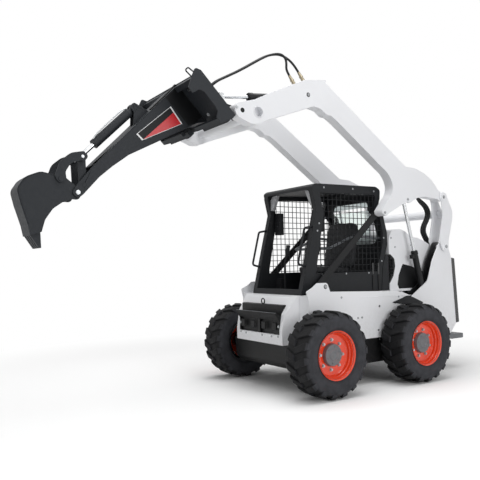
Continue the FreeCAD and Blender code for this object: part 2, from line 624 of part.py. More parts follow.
# Tailgate: a louvred door on hinge brackets at the right tower
GATE = [(2080, 1278), (2129, 520), (2190, 528, 15), (2141, 1268, 25)]
gate = plate("gate_panel", GATE, "-545", "1100")
slots = []
for slot_number in range(7):
    slot_z = 700 + 62 * slot_number
    slots.append(box("louvre_%d" % slot_number, ("-330", "330"), ("2040", "2230"), (str(slot_z), "%d + 26" % slot_z)))
knuckles, pins = [], []
for hinge_number, hinge_z in enumerate((640, 1100)):
    eye = doc.addObject("Part::Cylinder", "knuckle_eye_%d" % hinge_number)
    bind(eye, Radius="20", Height="40")
    eye.Placement = Placement(Vector(-560, 2160, hinge_z + 45), Rotation())
    arm = box("knuckle_arm_%d" % hinge_number, ("-560", "-540"), ("2140", "2160"), ("%d + 45" % hinge_z, "%d + 85" % hinge_z))
    hole = doc.addObject("Part::Cylinder", "knuckle_bore_%d" % hinge_number)
    bind(hole, Radius="10 + stub_clearance", Height="60")
    hole.Placement = Placement(Vector(-560, 2160, hinge_z + 35), Rotation())
    knuckles.append(cut("knuckle_%d" % hinge_number, fuse("knuckle_body_%d" % hinge_number, eye, arm), hole))
    pin = doc.addObject("Part::Cylinder", "hinge_pin_%d" % hinge_number)
    bind(pin, Radius="10", Height="84")
    pin.Placement = Placement(Vector(-560, 2160, hinge_z), Rotation())
    leaf = box("hinge_leaf_%d" % hinge_number, ("-572", "-560.3"), ("2020", "2160"), (str(hinge_z), "%d + 40" % hinge_z))
    pins.append(fuse("hinge_bracket_%d" % hinge_number, pin, leaf))
node("tailgate", fuse("gate_all", cut("gate_cut", gate, *slots), *knuckles))
node("rear_towers", group("rear_tower_group", tower_pair, *pins))
tail_lamp = plate("tail_lamp", [(2146, 1200.3), (2151.4, 1120), (2172, 1120, 8), (2168, 1200, 8)], "420", "84")
node("tail_lamps", pair("tail_lamp_pair", tail_lamp))

# Rear links: two plates a side with pins, and a cross tube that ties both sides
LINK = [(1846, 1462, 50), (1918, 1742, 200), (1908, 1900, 150), (1884, 1962, 50), (1905, 2022, 50),
        (1985, 2008, 50), (2040, 1900, 150), (2098, 1800, 110), (2078, 1690, 150), (2006, 1462, 100),
        (2002, 1352, 45), (1908, 1348, 45)]
link_in = plate("link_in", LINK, "link_inner_x", "link_plate")
link_out = plate("link_out", LINK, "link_outer_x", "link_plate")
pin_low = tube_x("pin_low", REAR_LINK_PIVOT, "pin_radius", "link_inner_x", "link_outer_x + link_plate - link_inner_x")
pin_high = tube_x("pin_high", ARM_REAR_PIVOT, "pin_radius", "link_inner_x", "link_outer_x + link_plate - link_inner_x")
cap_low = tube_x("cap_low", REAR_LINK_PIVOT, "40", "link_outer_x + 1", "link_plate + 5")
cap_high = tube_x("cap_high", ARM_REAR_PIVOT, "44", "link_outer_x + 1", "link_plate + 5")
link_tube = tube_x("link_tube", REAR_TUBE, "link_tube_radius", "0 - link_outer_x - link_plate",
                   "2*link_outer_x + 2*link_plate")
link_side = fuse("link_side", link_in, link_out, pin_low, pin_high, cap_low, cap_high)
node("rear_links", fuse("rear_link_frame", link_side, mirrored("link_side_right", link_side), link_tube))

# Control links: flat black bars from the chassis ears up beside the cab
bar = plate("control_bar", link_outline(CONTROL_LINK_PIVOT, ARM_CONTROL_PIVOT, 36, 36), "cab_half + 30", "14")
ear_pin = tube_x("ear_pin", CONTROL_LINK_PIVOT, "pin_radius", "cab_half + 30", "side_x - cab_half - 30")
node("control_links", pair("control_pair", fuse("control_whole", bar, ear_pin)))

# Lift arms: two box arms joined by the front cross tube
ARM = [(-866, 2668, 74), (-740, 2702, 120), (-625, 2733, 150), (-503, 2797, 250), (-46, 3001, 40),
       (229, 3046, 8), (214, 3016, 8), (257, 2985, 10), (1341, 2267, 60), (1494, 2262, 160), (1654, 2209, 220),
       (1778, 2138, 220), (1878, 2034, 60), (1935, 2008, 40), (1984, 2004, 42), (1984, 1918, 42), (1902, 1912, 40),
       (1856, 1938, 30), (1640, 1957, 120), (1528, 1940, 100), (1452, 1904, 40), (1398, 1876, 30), (1355, 1888, 30),
       (1233, 1836, 100), (1068, 1757, 60), (1020, 1722, 26), (962, 1742, 26), (955, 1781, 30), (1111, 1953, 160),
       (1136, 2035, 160), (1108, 2116, 150), (1052, 2185, 150), (953, 2247, 100), (374, 2640, 60), (280, 2694, 50),
       (217, 2699, 40), (150, 2747, 80), (60, 2763, 80), (-56, 2722, 80), (-499, 2562, 100), (-610, 2514, 80),
       (-690, 2507, 60), (-844, 2563, 74)]
arm_bores = [ARM_REAR_PIVOT + (S["pin_radius"] + S["stub_clearance"],),
             TILT_PIVOT + (S["pin_radius"] + S["stub_clearance"],),
             TILT_BASE_PIN + (S["pin_radius"] + S["stub_clearance"],)]
arm = plate("arm_solid", ARM, "arm_inner_x", "arm_outer_x - arm_inner_x", holes=arm_bores)
rod_slot = plate("rod_slot", [(1180, 1700), (1250, 1990, 40), (1480, 1990, 40), (1560, 1800), (1500, 1700)],
                 "lift_cylinder_x - 27", "54")
front_tube = tube_x("front_tube", FRONT_TUBE, "cross_tube_radius", "0 - arm_outer_x - 4", "2*arm_outer_x + 8")
tube_end = tube_x("tube_end", FRONT_TUBE, "cross_tube_radius - 6", "arm_outer_x - 60", "80")
tube_end_right = mirrored("tube_end_right", tube_end)
arm_left = cut("arm_left", arm, rod_slot)
control_boss = tube_x("control_boss", ARM_CONTROL_PIVOT, "24", "arm_outer_x - 10", "14")
rod_boss = tube_x("rod_boss", LIFT_ROD_PIN, "22", "arm_outer_x - 10", "14")
arm_whole = fuse("arm_whole", arm_left, control_boss, rod_boss)
arms = fuse("arms", arm_whole, mirrored("arm_right", arm_whole), front_tube)
node("lift_arms", cut("arms_cut", arms, tube_end, tube_end_right))

# Hose couplers on the left arm's top
coupler_parts = []
for coupler_number, (coupler_y, coupler_z) in enumerate(((-132, 2938), (-20, 2990))):
    stem = doc.addObject("Part::Cylinder", "hose_coupler_%d" % coupler_number)
    bind(stem, Radius="14", Height="coupler_length")
    stem.Placement = Placement(Vector(530, coupler_y, coupler_z), Rotation(Vector(1, 0, 0), 38))
    coupler_parts.append(stem)
arm_clear = plate("arm_clear", ARM, "arm_inner_x", "arm_outer_x - arm_inner_x")
doc.recompute()
node("hose_couplers", group("coupler_trim", *[cut("coupler_cut_%d" % n, c, arm_clear) for n, c in enumerate(coupler_parts)]))

# Lift cylinders: barrels pinned in the towers, rods up to the arms
base, rod_pin = Vector(0, *LIFT_BASE_PIN), Vector(0, *LIFT_ROD_PIN)
way = (rod_pin - base).normalize()


def along(point, direction, distance):
    there = point + direction * distance
    return (there.y, there.z)


x_plane = "lift_cylinder_x"
barrel = bar_between("lift_barrel_tube", LIFT_BASE_PIN, along(base, way, LIFT_GLAND), "lift_barrel_radius", x_plane)
barrel_bore = bar_between("lift_barrel_bore", along(base, way, 45), along(base, way, LIFT_GLAND + 30),
                          "lift_rod_radius + stub_clearance", x_plane)
base_eye = tube_x("lift_base_eye", LIFT_BASE_PIN, "40", "lift_cylinder_x - 25", "50")
base_pin = tube_x("lift_base_pin", LIFT_BASE_PIN, "pin_radius", "tower_inner_x + 1", "side_x - tower_inner_x - 1")
gland_at = along(base, way, LIFT_GLAND - 62)
port = plate("lift_port", [(gland_at[0] - 66, gland_at[1] - 30), (gland_at[0] - 66, gland_at[1] + 14),
                           (gland_at[0], gland_at[1] + 26), (gland_at[0], gland_at[1] - 18)],
             "lift_cylinder_x - 20", "40")
node("lift_barrels", pair("lift_barrel_pair", cut("lift_barrel_cut", fuse("lift_barrel_body", barrel, base_eye,
                                                                          base_pin, port), barrel_bore)))
rod_bar = bar_between("lift_rod_bar", along(base, way, LIFT_GLAND - 235), LIFT_ROD_PIN, "lift_rod_radius", x_plane)
rod_eye = tube_x("lift_rod_eye", LIFT_ROD_PIN, "34", "lift_cylinder_x - 20", "40")
node("lift_rods", pair("lift_rod_pair", fuse("lift_rod_whole", rod_bar, rod_eye)))

# Tilt cylinders between the arms and the coupler
TILT_GLAND = 600
base, rod_pin = Vector(0, *TILT_BASE_PIN), Vector(0, *TILT_ROD_PIN)
way = (rod_pin - base).normalize()
x_plane = "tilt_cylinder_x"
barrel = bar_between("tilt_barrel_tube", TILT_BASE_PIN, along(base, way, TILT_GLAND), "tilt_barrel_radius", x_plane)
barrel_bore = bar_between("tilt_barrel_bore", along(base, way, 45), along(base, way, TILT_GLAND + 30),
                          "tilt_rod_radius + stub_clearance", x_plane)
base_pin = tube_x("tilt_base_pin", TILT_BASE_PIN, "pin_radius", "tilt_cylinder_x - 25", "arm_outer_x - tilt_cylinder_x + 24")
node("tilt_barrels", pair("tilt_barrel_pair", cut("tilt_barrel_cut", fuse("tilt_barrel_body", barrel, base_pin),
                                                  barrel_bore)))
rod_bar = bar_between("tilt_rod_bar", along(base, way, TILT_GLAND - 200), TILT_ROD_PIN, "tilt_rod_radius", x_plane)
rod_eye = tube_x("tilt_rod_eye", TILT_ROD_PIN, "32", "tilt_cylinder_x - 16", "32")
node("tilt_rods", pair("tilt_rod_pair", fuse("tilt_rod_whole", rod_bar, rod_eye)))


# Quick coupler: back plate with ears, pivoted on the arm tips. Attachment frame: forward is -Y,
# up is along the coupler plate, origin at the plate's lower edge.
def local(point):
    """A machine point as y and z of the attachment frame."""
    dy, dz = point[0] - S["coupler_y"], point[1] - S["coupler_z"]
    c, s = math.cos(math.radians(S["dump_angle"])), math.sin(math.radians(S["dump_angle"]))
    return (dy * c + dz * s, -dy * s + dz * c)


PIVOT, ROD_EYE = local(TILT_PIVOT), local(TILT_ROD_PIN)
coupler_plate = plate("coupler_plate", [(0.3, 12), (0.3, 440), (14, 440), (14, 12)], "-454", "908")
coupler_ear = plate("coupler_ear", [(13, 330, 20), (13, -30), (40, -48, 30), (PIVOT[0] + 46, PIVOT[1] - 48, 46),
                    (PIVOT[0] + 46, PIVOT[1] + 44, 44), (70, 110, 60), (60, 300, 60)], "440", "14")
coupler_pin = tube_x("coupler_pin", PIVOT, "pin_radius", "440", "arm_outer_x - 440")
eye_plate = [(13, 250, 20), (13, 90), (60, 120, 30), (ROD_EYE[0] + 36, ROD_EYE[1] - 34, 34),
             (ROD_EYE[0] + 36, ROD_EYE[1] + 34, 34), (60, 240, 20)]
eye_in = plate("eye_in", eye_plate, "378", "12")
coupler_rib = plate("coupler_rib", [(13, 40), (13, 420), (60, 400, 30), (60, 70, 30)], "200", "14")
coupler_side = fuse("coupler_side", coupler_ear, coupler_pin, eye_in, coupler_rib)
lock_bar = box("lock_bar", ("-378", "378"), ("13", "40"), ("20", "60"))
node("quick_coupler", fuse("coupler_all", coupler_plate, coupler_side, mirrored("coupler_side_right", coupler_side),
                           lock_bar), "attachment")

# Mounting frame of the backhoe: back plate, C shaped wings and cross bars
back_plate = box("back_plate", ("0 - coupler_half", "coupler_half"), ("-12", "0"), ("10", "500"))
WING = uw([(0.5, 10), (0.5, 500), (30, 548, 20), (104, 520, 15), (206, 470, 12), (206, 412, 12), (128, 392, 30),
           (108, 350, 30), (108, 200, 30), (122, 150, 12), (168, 122, 12), (168, 62, 12), (60, 10)])
wing = plate("wing_plate", WING, "coupler_half - plate_thickness", "plate_thickness")
bars = []
for bar_number, (bar_y, bar_z, bar_size) in enumerate(((-104, 14, 56), (-66, 440, 54), (-168, 64, 40))):
    bars.append(box("frame_bar_%d" % bar_number, ("boom_half + 0.3", "coupler_half - 10"),
                    (str(bar_y), "%d + %d" % (bar_y, bar_size)), (str(bar_z), "%d + %d" % (bar_z, bar_size))))
ring_x = S["coupler_half"] - S["plate_thickness"] / 2
hook = feature("hook_ring", bent_tube([(ring_x, -60, 505), (ring_x, -84, 590), (ring_x, -124, 590), (ring_x, -112, 505)], 6, 14))
frame_side = fuse("frame_side", wing, *bars)
node("mounting_frame", fuse("frame_all", back_plate, frame_side, mirrored("frame_side_right", frame_side), hook),
     "attachment")

# Boom: a hollow box that narrows from the frame and forks at the bucket
BOOM = uw([(12, 60), (12, 490), (1150, 491), (1345, 474, 80), (1444, 456, 34), (1444, 385, 34), (1385, 379, 30),
           (1176, 389, 200), (1014, 376, 150), (842, 350, 150), (529, 249, 150), (107, 118, 60)])
BOOM_ROOM = uw([(22, 75), (22, 482), (1120, 482), (1120, 560), (1500, 560), (1500, 320), (1235, 320), (1235, 395),
                (1014, 385), (845, 359), (532, 259), (112, 128)])
boom_bores = [(-BUCKET_PIVOT[0], BUCKET_PIVOT[1], 20 + S["stub_clearance"]),
              (-ROCKER_PIVOT[0], ROCKER_PIVOT[1], 18 + S["stub_clearance"])]
boom_solid = plate("boom_solid", BOOM, "0 - boom_half", "2*boom_half", holes=boom_bores)
boom_room = plate("boom_room", BOOM_ROOM, "boom_plate - boom_half", "2*boom_half - 2*boom_plate")
bracket_outline = uw([(370, 488), (412, 600, 60), (425, 634, 36), (487, 634, 40), (487, 575, 40), (580, 488)])
bracket_bore = [(-BUCKET_BARREL_PIN[0], BUCKET_BARREL_PIN[1], 18 + S["stub_clearance"])]
bracket = plate("boom_bracket", bracket_outline, "30", "14", holes=bracket_bore)
node("boom", fuse("boom_all", cut("boom_shell", boom_solid, boom_room), bracket,
                  mirrored("boom_bracket_right", bracket)), "attachment")

# Bucket: open shell with side plates that carry the pivot, and four teeth
BUCKET = uw([(1366, 394, 34), (1440, 372, 34), (1475, 412, 60), (1549, 448, 80), (1647, 464, 80), (1753, 444, 80),
             (1841, 395), (1925, 438), (1878, 510, 100), (1798, 668, 100), (1738, 768, 70), (1625, 792, 120),
             (1500, 740, 90), (1446, 640, 20), (1392, 616, 34), (1384, 540, 60)])
BUCKET_ROOM = uw([(1300, 300), (1300, 700), (1437, 700), (1444, 662), (1508, 731, 80), (1626, 781, 110),
                  (1732, 760, 60), (1790, 664, 90), (1869, 506, 80), (1903, 452), (1835, 330)])
bucket_solid = plate("bucket_solid", BUCKET, "0 - bucket_half", "2*bucket_half")
bucket_room = plate("bucket_room", BUCKET_ROOM, "bucket_plate - bucket_half", "2*bucket_half - 2*bucket_plate")
bucket_pin = tube_x("bucket_pin", (-BUCKET_PIVOT[0], BUCKET_PIVOT[1]), "20", "0 - boom_half", "2*boom_half")
lip = plate("bucket_lip", uw([(1835, 398), (1905, 455), (1925, 438), (1841, 395)]), "0 - bucket_half", "2*bucket_half")
TOOTH = uw([(1845, 400), (1932, 305, 4), (1944, 316, 4), (1918, 448)])
teeth = []
for tooth_number, tooth_x in enumerate((-100, -45, 10, 65)):
    teeth.append(plate("tooth_%d" % tooth_number, TOOTH, str(tooth_x), "35"))
node("bucket", fuse("bucket_all", cut("bucket_shell", bucket_solid, bucket_room), bucket_pin, lip, *teeth),
     "attachment")

# Rocker: two plates on a pin in the boom's fork
rocker_outline = link_outline(uw([ROCKER_PIVOT])[0], uw([ROCKER_TOP])[0], 32, 34)
rocker_side = plate("rocker_plate_left", rocker_outline, "86", "rocker_plate",
                    holes=[(-ROCKER_TOP[0], ROCKER_TOP[1], 18 + S["stub_clearance"])])
rocker_pin = tube_x("rocker_pin", uw([ROCKER_PIVOT])[0], "18", "0 - boom_half", "2*boom_half")
rocker_stub = tube_x("rocker_stub", uw([ROCKER_TOP])[0], "25", "32", "54")
rocker_half = fuse("rocker_half", rocker_side, rocker_stub)
node("rocker", fuse("rocker_all", rocker_half, mirrored("rocker_half_right", rocker_half), rocker_pin), "attachment")

# Bucket links: curved plates from the rocker's top to the bucket
BUCKET_LINK = uw([(1120, 570, 34), (1120, 628, 34), (1215, 690, 120), (1330, 700, 120), (1456, 640, 60),
                  (1462, 566, 34), (1398, 558, 34), (1360, 610, 60), (1270, 630, 90), (1195, 590, 60), (1180, 566, 20)])
link_plate = plate("bucket_link_plate", BUCKET_LINK, "121.5", "10")
link_pin = tube_x("bucket_link_pin", uw([ROCKER_TOP])[0], "18", "87", "44.5")
link_cap = tube_x("bucket_link_cap", uw([BUCKET_LINK_PIN])[0], "22", "131", "6")
node("bucket_links", pair("bucket_link_pair", fuse("bucket_link_whole", link_plate, link_pin, link_cap)), "attachment")

# Bucket cylinder over the boom
BUCKET_GLAND = 520
base, rod_pin = Vector(0, *uw([BUCKET_BARREL_PIN])[0]), Vector(0, *uw([ROCKER_TOP])[0])
way = (rod_pin - base).normalize()
base_at, rod_at = (base.y, base.z), (rod_pin.y, rod_pin.z)
barrel = bar_between("bucket_barrel_tube", along(base, way, 64), along(base, way, BUCKET_GLAND), "bucket_barrel_radius", "0")
neck = bar_between("bucket_barrel_neck", base_at, along(base, way, 70), "22", "0")
base_eye = tube_x("bucket_base_eye", base_at, "36", "-24", "48")
base_pin = tube_x("bucket_base_pin", base_at, "18", "-44", "88")
barrel_bore = bar_between("bucket_barrel_bore", along(base, way, 75), along(base, way, BUCKET_GLAND + 30),
                          "bucket_rod_radius + stub_clearance", "0")
node("bucket_barrel", cut("bucket_barrel_cut", fuse("bucket_barrel_body", barrel, neck, base_eye, base_pin),
                          barrel_bore), "attachment")
rod_bar = bar_between("bucket_rod_bar", along(base, way, BUCKET_GLAND - 80), rod_at, "bucket_rod_radius", "0")
rod_eye = tube_x("bucket_rod_eye", rod_at, "34", "-22", "44")
node("bucket_rod", fuse("bucket_rod_whole", rod_bar, rod_eye), "attachment")

# Free hoses: two from the arm's couplers to the backhoe, three from the hood to the arm
HOSE_A = [(530, -190.1, 3012.3), (530, -214.7, 3043.8), (530, -240, 3088), (530, -236, 3138), (528, -240, 3186),
          (522, -275, 3221), (510, -318, 3228), (494, -372, 3217), (482, -430, 3196), (470, -516, 3146),
          (459, -623, 3078), (448, -728, 3013), (436, -853, 2945), (422, -940, 2898), (400, -984, 2859),
          (386, -1016.4, 2827.2), (386, -1047.8, 2795.8)]
HOSE_B = [(530, -78.1, 3064.3), (530, -102.7, 3095.8), (522, -150, 3156), (509, -196, 3197), (498, -246, 3222),
          (485, -302, 3233), (468, -362, 3224), (456, -430, 3200), (444, -516, 3150), (433, -623, 3082),
          (422, -728, 3017), (410, -853, 2949), (396, -940, 2902), (372, -984, 2863), (356, -1016.4, 2827.2),
          (356, -1047.8, 2795.8)]
node("attachment_hoses", group("attachment_hose_group", feature("hose_a", cord_tube(HOSE_A, S["hose_radius"])),
                               feature("hose_b", cord_tube(HOSE_B, S["hose_radius"]))))
LIFT_HOSE = [(1880.1, 1425.7), (1895, 1459.4), (1846, 1520), (1814, 1580), (1834, 1647), (1888, 1715), (1920, 1795), (1878, 1872),
             (1780, 1930)]
lift_hoses = []
for hose_number, (hose_x, hose_end) in enumerate(((412, 1990), (386, 2022), (360, 2054))):
    route = [(hose_x, y, z) for y, z in LIFT_HOSE] + [(415, 1640, hose_end), (459.8, 1640, hose_end)]
    lift_hoses.append(feature("lift_hose_%d" % hose_number, cord_tube(route, S["hose_radius"] + 1)))
node("lift_hoses", group("lift_hose_group", *lift_hoses))

# Recompute, check every object and every shape, then write one file for each node
doc.recompute()
faults = []
for obj in doc.Objects:
    if "Invalid" in obj.State or "Error" in obj.State:
        faults.append("%s %s" % (obj.Name, obj.State))
    if obj.TypeId.startswith("Part") and hasattr(obj, "Shape") and not obj.Shape.isNull():
        if obj.Shape.Solids and not obj.Shape.isValid():
            faults.append("%s shape" % obj.Name)
for held in NODES:
    shape = held.Shape
    if shape.isNull() or not shape.isValid() or not shape.Solids:
        faults.append("%s shape" % held.Label)
if faults:
    raise RuntimeError("; ".join(faults))
low, high = 1e9, -1e9
for held in NODES:
    bounds = held.Shape.BoundBox
    low, high = min(low, bounds.YMin), max(high, bounds.YMax)
    held.Shape.exportStep("parts/%s.step" % held.Label)
    print(held.Label, len(held.Shape.Solids), round(bounds.XMin), round(bounds.XMax), round(bounds.YMin),
          round(bounds.YMax), round(bounds.ZMin, 2), round(bounds.ZMax))
print("Y centre", round((low + high) / 2, 2), "length", round(high - low, 1))
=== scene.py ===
import bpy
import bmesh
import math
from mathutils import Matrix, Vector


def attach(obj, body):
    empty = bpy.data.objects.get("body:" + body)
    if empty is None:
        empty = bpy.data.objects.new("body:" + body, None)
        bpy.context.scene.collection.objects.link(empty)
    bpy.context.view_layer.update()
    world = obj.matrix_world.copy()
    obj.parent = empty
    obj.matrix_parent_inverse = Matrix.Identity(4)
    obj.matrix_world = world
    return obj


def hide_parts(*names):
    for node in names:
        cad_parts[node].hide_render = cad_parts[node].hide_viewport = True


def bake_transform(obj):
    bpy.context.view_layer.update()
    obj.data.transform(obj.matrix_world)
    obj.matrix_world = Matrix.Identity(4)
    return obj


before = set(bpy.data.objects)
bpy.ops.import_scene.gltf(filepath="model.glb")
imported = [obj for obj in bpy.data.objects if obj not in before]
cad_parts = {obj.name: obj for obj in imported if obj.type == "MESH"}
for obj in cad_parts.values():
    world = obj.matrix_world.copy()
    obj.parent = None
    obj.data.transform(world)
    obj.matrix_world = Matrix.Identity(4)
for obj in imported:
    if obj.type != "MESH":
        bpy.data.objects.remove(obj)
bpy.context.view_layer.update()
scene = bpy.context.scene

# Camera: an eye-level view from the machine's front left, a little below level and slightly rolled.
# The lens is a 44 mm one on a 36 mm sensor, and the picture is square.
yaw, pitch, roll = math.radians(56.51), math.radians(-2.30), math.radians(-1.20)
forward = Vector((-math.sin(yaw) * math.cos(pitch), math.cos(yaw) * math.cos(pitch), -math.sin(pitch)))
level = Vector((math.cos(yaw), math.sin(yaw), 0))
upright = level.cross(forward)
across = level * math.cos(roll) + upright * math.sin(roll)
above = upright * math.cos(roll) - level * math.sin(roll)
lens = bpy.data.cameras.new("camera")
lens.lens, lens.sensor_width, lens.clip_end = 44.096, 36, 500
camera = bpy.data.objects.new("camera", lens)
camera.matrix_world = Matrix.Translation((4.8657, -3.50075, 1.2535)) @ Matrix(
    (across, above, -forward)).transposed().to_4x4()
scene.collection.objects.link(camera)
scene.camera = camera
scene.view_settings.view_transform = "Standard"


# Free hoses: two 22 mm hydraulic hoses loop from the couplers on the left arm to the backhoe, and three
# 24 mm ones rise from the engine hood to the arm. Braided hose with a smooth, dull black synthetic cover.
def colour(code):
    """An sRGB hex code as linear red, green, blue and alpha."""
    parts = [int(code[i:i + 2], 16) / 255 for i in (0, 2, 4)]
    return tuple(c / 12.92 if c <= 0.04045 else ((c + 0.055) / 1.055) ** 2.4 for c in parts) + (1.0,)


def feed(tree, node, fill):
    """Fills a node's sockets with values or links. A node given as a value stands for its first output in use."""
    for socket, value in fill.items():
        if isinstance(value, bpy.types.Node):
            value = next(output for output in value.outputs if output.enabled)
        if isinstance(value, bpy.types.NodeSocket):
            tree.links.new(value, node.inputs[socket])
        else:
            node.inputs[socket].default_value = value


def add(tree, kind, fill=None, **settings):
    """Adds one node, sets its options and fills its sockets."""
    made = tree.nodes.new(kind)
    for option, value in settings.items():
        setattr(made, option, value)
    feed(tree, made, fill or {})
    return made


def finish_of(name, roughness, metallic=0.0, ior=1.5):
    """A new material with its shader's own numbers set, ready for its pattern."""
    made = bpy.data.materials.new(name)
    made.use_nodes = True
    shader = made.node_tree.nodes["Principled BSDF"]
    shader.inputs["Roughness"].default_value = roughness
    shader.inputs["Metallic"].default_value = metallic
    if not metallic:
        shader.inputs["IOR"].default_value = ior
        shader.inputs["Specular IOR Level"].default_value = 0.25 + 0.25 * (roughness < 0.4)
    return made, made.node_tree, shader, add(made.node_tree, "ShaderNodeTexCoord").outputs["Object"]


def machine(x, y, z):
    """A point given in millimetres from the front axle's line, in the frame's metres."""
    return Vector((x / 1000, (y + 174.35) / 1000, z / 1000))


def textured(name, dark, light, mottle, roughness, metallic=0.0, ior=1.5, relief=None):
    """A finish whose colour wanders from dark to light by mottle, a noise's scale and detail. relief, if any, is
    its surface's texture, with the texture's options, its output, and the relief's strength and depth."""
    made, tree, shader, place = finish_of(name, roughness, metallic, ior)
    cloud = add(tree, "ShaderNodeTexNoise", {"Vector": place, "Scale": mottle[0], "Detail": mottle[1]})
    share = cloud.outputs["Fac"]
    if relief:
        kind, fill, settings, output, strength, depth = relief
        skin = add(tree, kind, {"Vector": place, **fill}, **settings)
        share = share if mottle[0] else skin.outputs[output]
        raised = add(tree, "ShaderNodeBump", {"Height": skin.outputs[output], "Strength": strength, "Distance": depth})
        feed(tree, shader, {"Normal": raised})
    tone = add(tree, "ShaderNodeMix", {"Factor": share, "A": colour(dark), "B": colour(light)}, data_type="RGBA")
    feed(tree, shader, {"Base Color": tone})
    return made


# nitrile hose cover, extruded and cloth wrapped: dull black, with the fine cross marks of the wrap every 2 mm
hose_cover = textured("nitrile_hose_cover", "121314", "1E1F21", (60.0, 3.0), 0.52, relief=(
    "ShaderNodeTexWave", {"Scale": 160.0, "Distortion": 2.0}, {}, "Fac", 0.12, 0.0004))


def piece(name, mesh, body, finish=None):
    """A finished mesh as an object of its own, riding on its body. A finish given takes the place of others."""
    if finish:
        mesh.materials.clear()
        mesh.materials.append(finish)
    made = bpy.data.objects.new(name, mesh)
    scene.collection.objects.link(made)
    if body:
        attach(made, body)
    return made


def evaluated(shape):
    """The plain mesh that an object with modifiers or a curve comes to."""
    bpy.context.view_layer.update()
    return bpy.data.meshes.new_from_object(shape.evaluated_get(bpy.context.evaluated_depsgraph_get()))


def tube(points, radius, sides, kind="POLY"):
    """The mesh of a round bar along points."""
    line = bpy.data.curves.new("line", "CURVE")
    line.dimensions, line.bevel_depth, line.bevel_resolution, line.use_fill_caps = "3D", radius, sides, True
    spline = line.splines.new(kind)
    spline.points.add(len(points) - 1)
    for point, spot in zip(spline.points, points):
        point.co = (*spot, 1)
    if kind == "NURBS":
        spline.order_u, spline.use_endpoint_u = 3, True
    drawn = bpy.data.objects.new("line", line)
    scene.collection.objects.link(drawn)
    mesh = evaluated(drawn)
    bpy.data.objects.remove(drawn)
    return mesh


def hose_line(route):
    """Close points along the smooth line that a route's points pull, 12 to each bend."""
    points = [machine(*spot) for spot in route]
    line = [points[0]]
    for i in range(len(points) - 2):
        start = points[i] if i == 0 else (points[i] + points[i + 1]) / 2
        end = points[i + 2] if i == len(points) - 3 else (points[i + 1] + points[i + 2]) / 2
        line += [start * (1 - t) ** 2 + points[i + 1] * 2 * t * (1 - t) + end * t * t
                 for t in (step / 12 for step in range(1, 13))]
    return line


def free_hose(name, replaces, radius, route):
    """One smooth hose along a route, in place of the carried-over part it replaces."""
    centre = hose_line(route)
    hose = piece(name, tube(centre, radius, 5), None, hose_cover)
    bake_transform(hose)
    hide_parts(replaces)


feed_route = [(530, -190.1, 3012.3), (530, -214.7, 3043.8), (530, -240, 3088), (530, -236, 3138),
              (528, -240, 3186), (522, -275, 3221), (510, -318, 3228), (494, -372, 3217), (482, -430, 3196),
              (470, -516, 3146), (459, -623, 3078), (448, -728, 3013), (436, -853, 2945), (422, -940, 2898),
              (400, -984, 2859), (386, -1016.4, 2827.2), (386, -1047.8, 2795.8)]
return_route = [(530, -78.1, 3064.3), (530, -102.7, 3095.8), (522, -150, 3156), (509, -196, 3197),
                (498, -246, 3222), (485, -302, 3233), (468, -362, 3224), (456, -430, 3200), (444, -516, 3150),
                (433, -623, 3082), (422, -728, 3017), (410, -853, 2949), (396, -940, 2902), (372, -984, 2863),
                (356, -1016.4, 2827.2), (356, -1047.8, 2795.8)]
for name, route in (("feed_hose", feed_route), ("return_hose", return_route)):
    free_hose(name, "attachment_hoses", 0.011, route)

# the lift hoses come in two lengths, joined by a union that is carried by the rear link
lift_hose_ends = ((412, 1990), (386, 2022), (360, 2054))
for number, (hose_x, hose_end) in enumerate(lift_hose_ends):
    rise = [(hose_x, y, z) for y, z in ((1880.1, 1425.7), (1895, 1459.4), (1846, 1520), (1814, 1580), (1834, 1647),
                                        (1861, 1681))]
    free_hose("lift_hose_%d" % number, "lift_hoses", 0.012, rise)
    reach = [(hose_x, y, z) for y, z in ((1861, 1681), (1888, 1715), (1920, 1795), (1878, 1872), (1780, 1930))]
    reach += [(415, 1640, hose_end), (459.8, 1640, hose_end)]
    free_hose("arm_hose_%d" % number, "lift_hoses", 0.012, reach)


# Studio: a pale floor that keeps the machine's shadow and fades into the white surround, a large soft
# lamp overhead and two weaker ones at the front and the left.
floor_mesh = bpy.data.meshes.new("floor")
floor_mesh.from_pydata([(-60, -60, 0), (60, -60, 0), (60, 60, 0), (-60, 60, 0)], [], [(0, 1, 2, 3)])
floor = bpy.data.objects.new("floor", floor_mesh)
floor.location.z = -0.0005
scene.collection.objects.link(floor)
pale = bpy.data.materials.new("pale_floor")
pale.use_nodes = True
tree = pale.node_tree
tree.nodes.clear()


def straight(tree):
    """One for the rays that see a surface as the eye, a reflection or a pane does, and nought for the rest."""
    seen = add(tree, "ShaderNodeLightPath")
    eye = add(tree, "ShaderNodeMath", {0: seen.outputs["Is Camera Ray"], 1: seen.outputs["Is Glossy Ray"]},
              operation="MAXIMUM")
    return add(tree, "ShaderNodeMath", {0: eye, 1: seen.outputs["Is Transmission Ray"]}, operation="MAXIMUM")


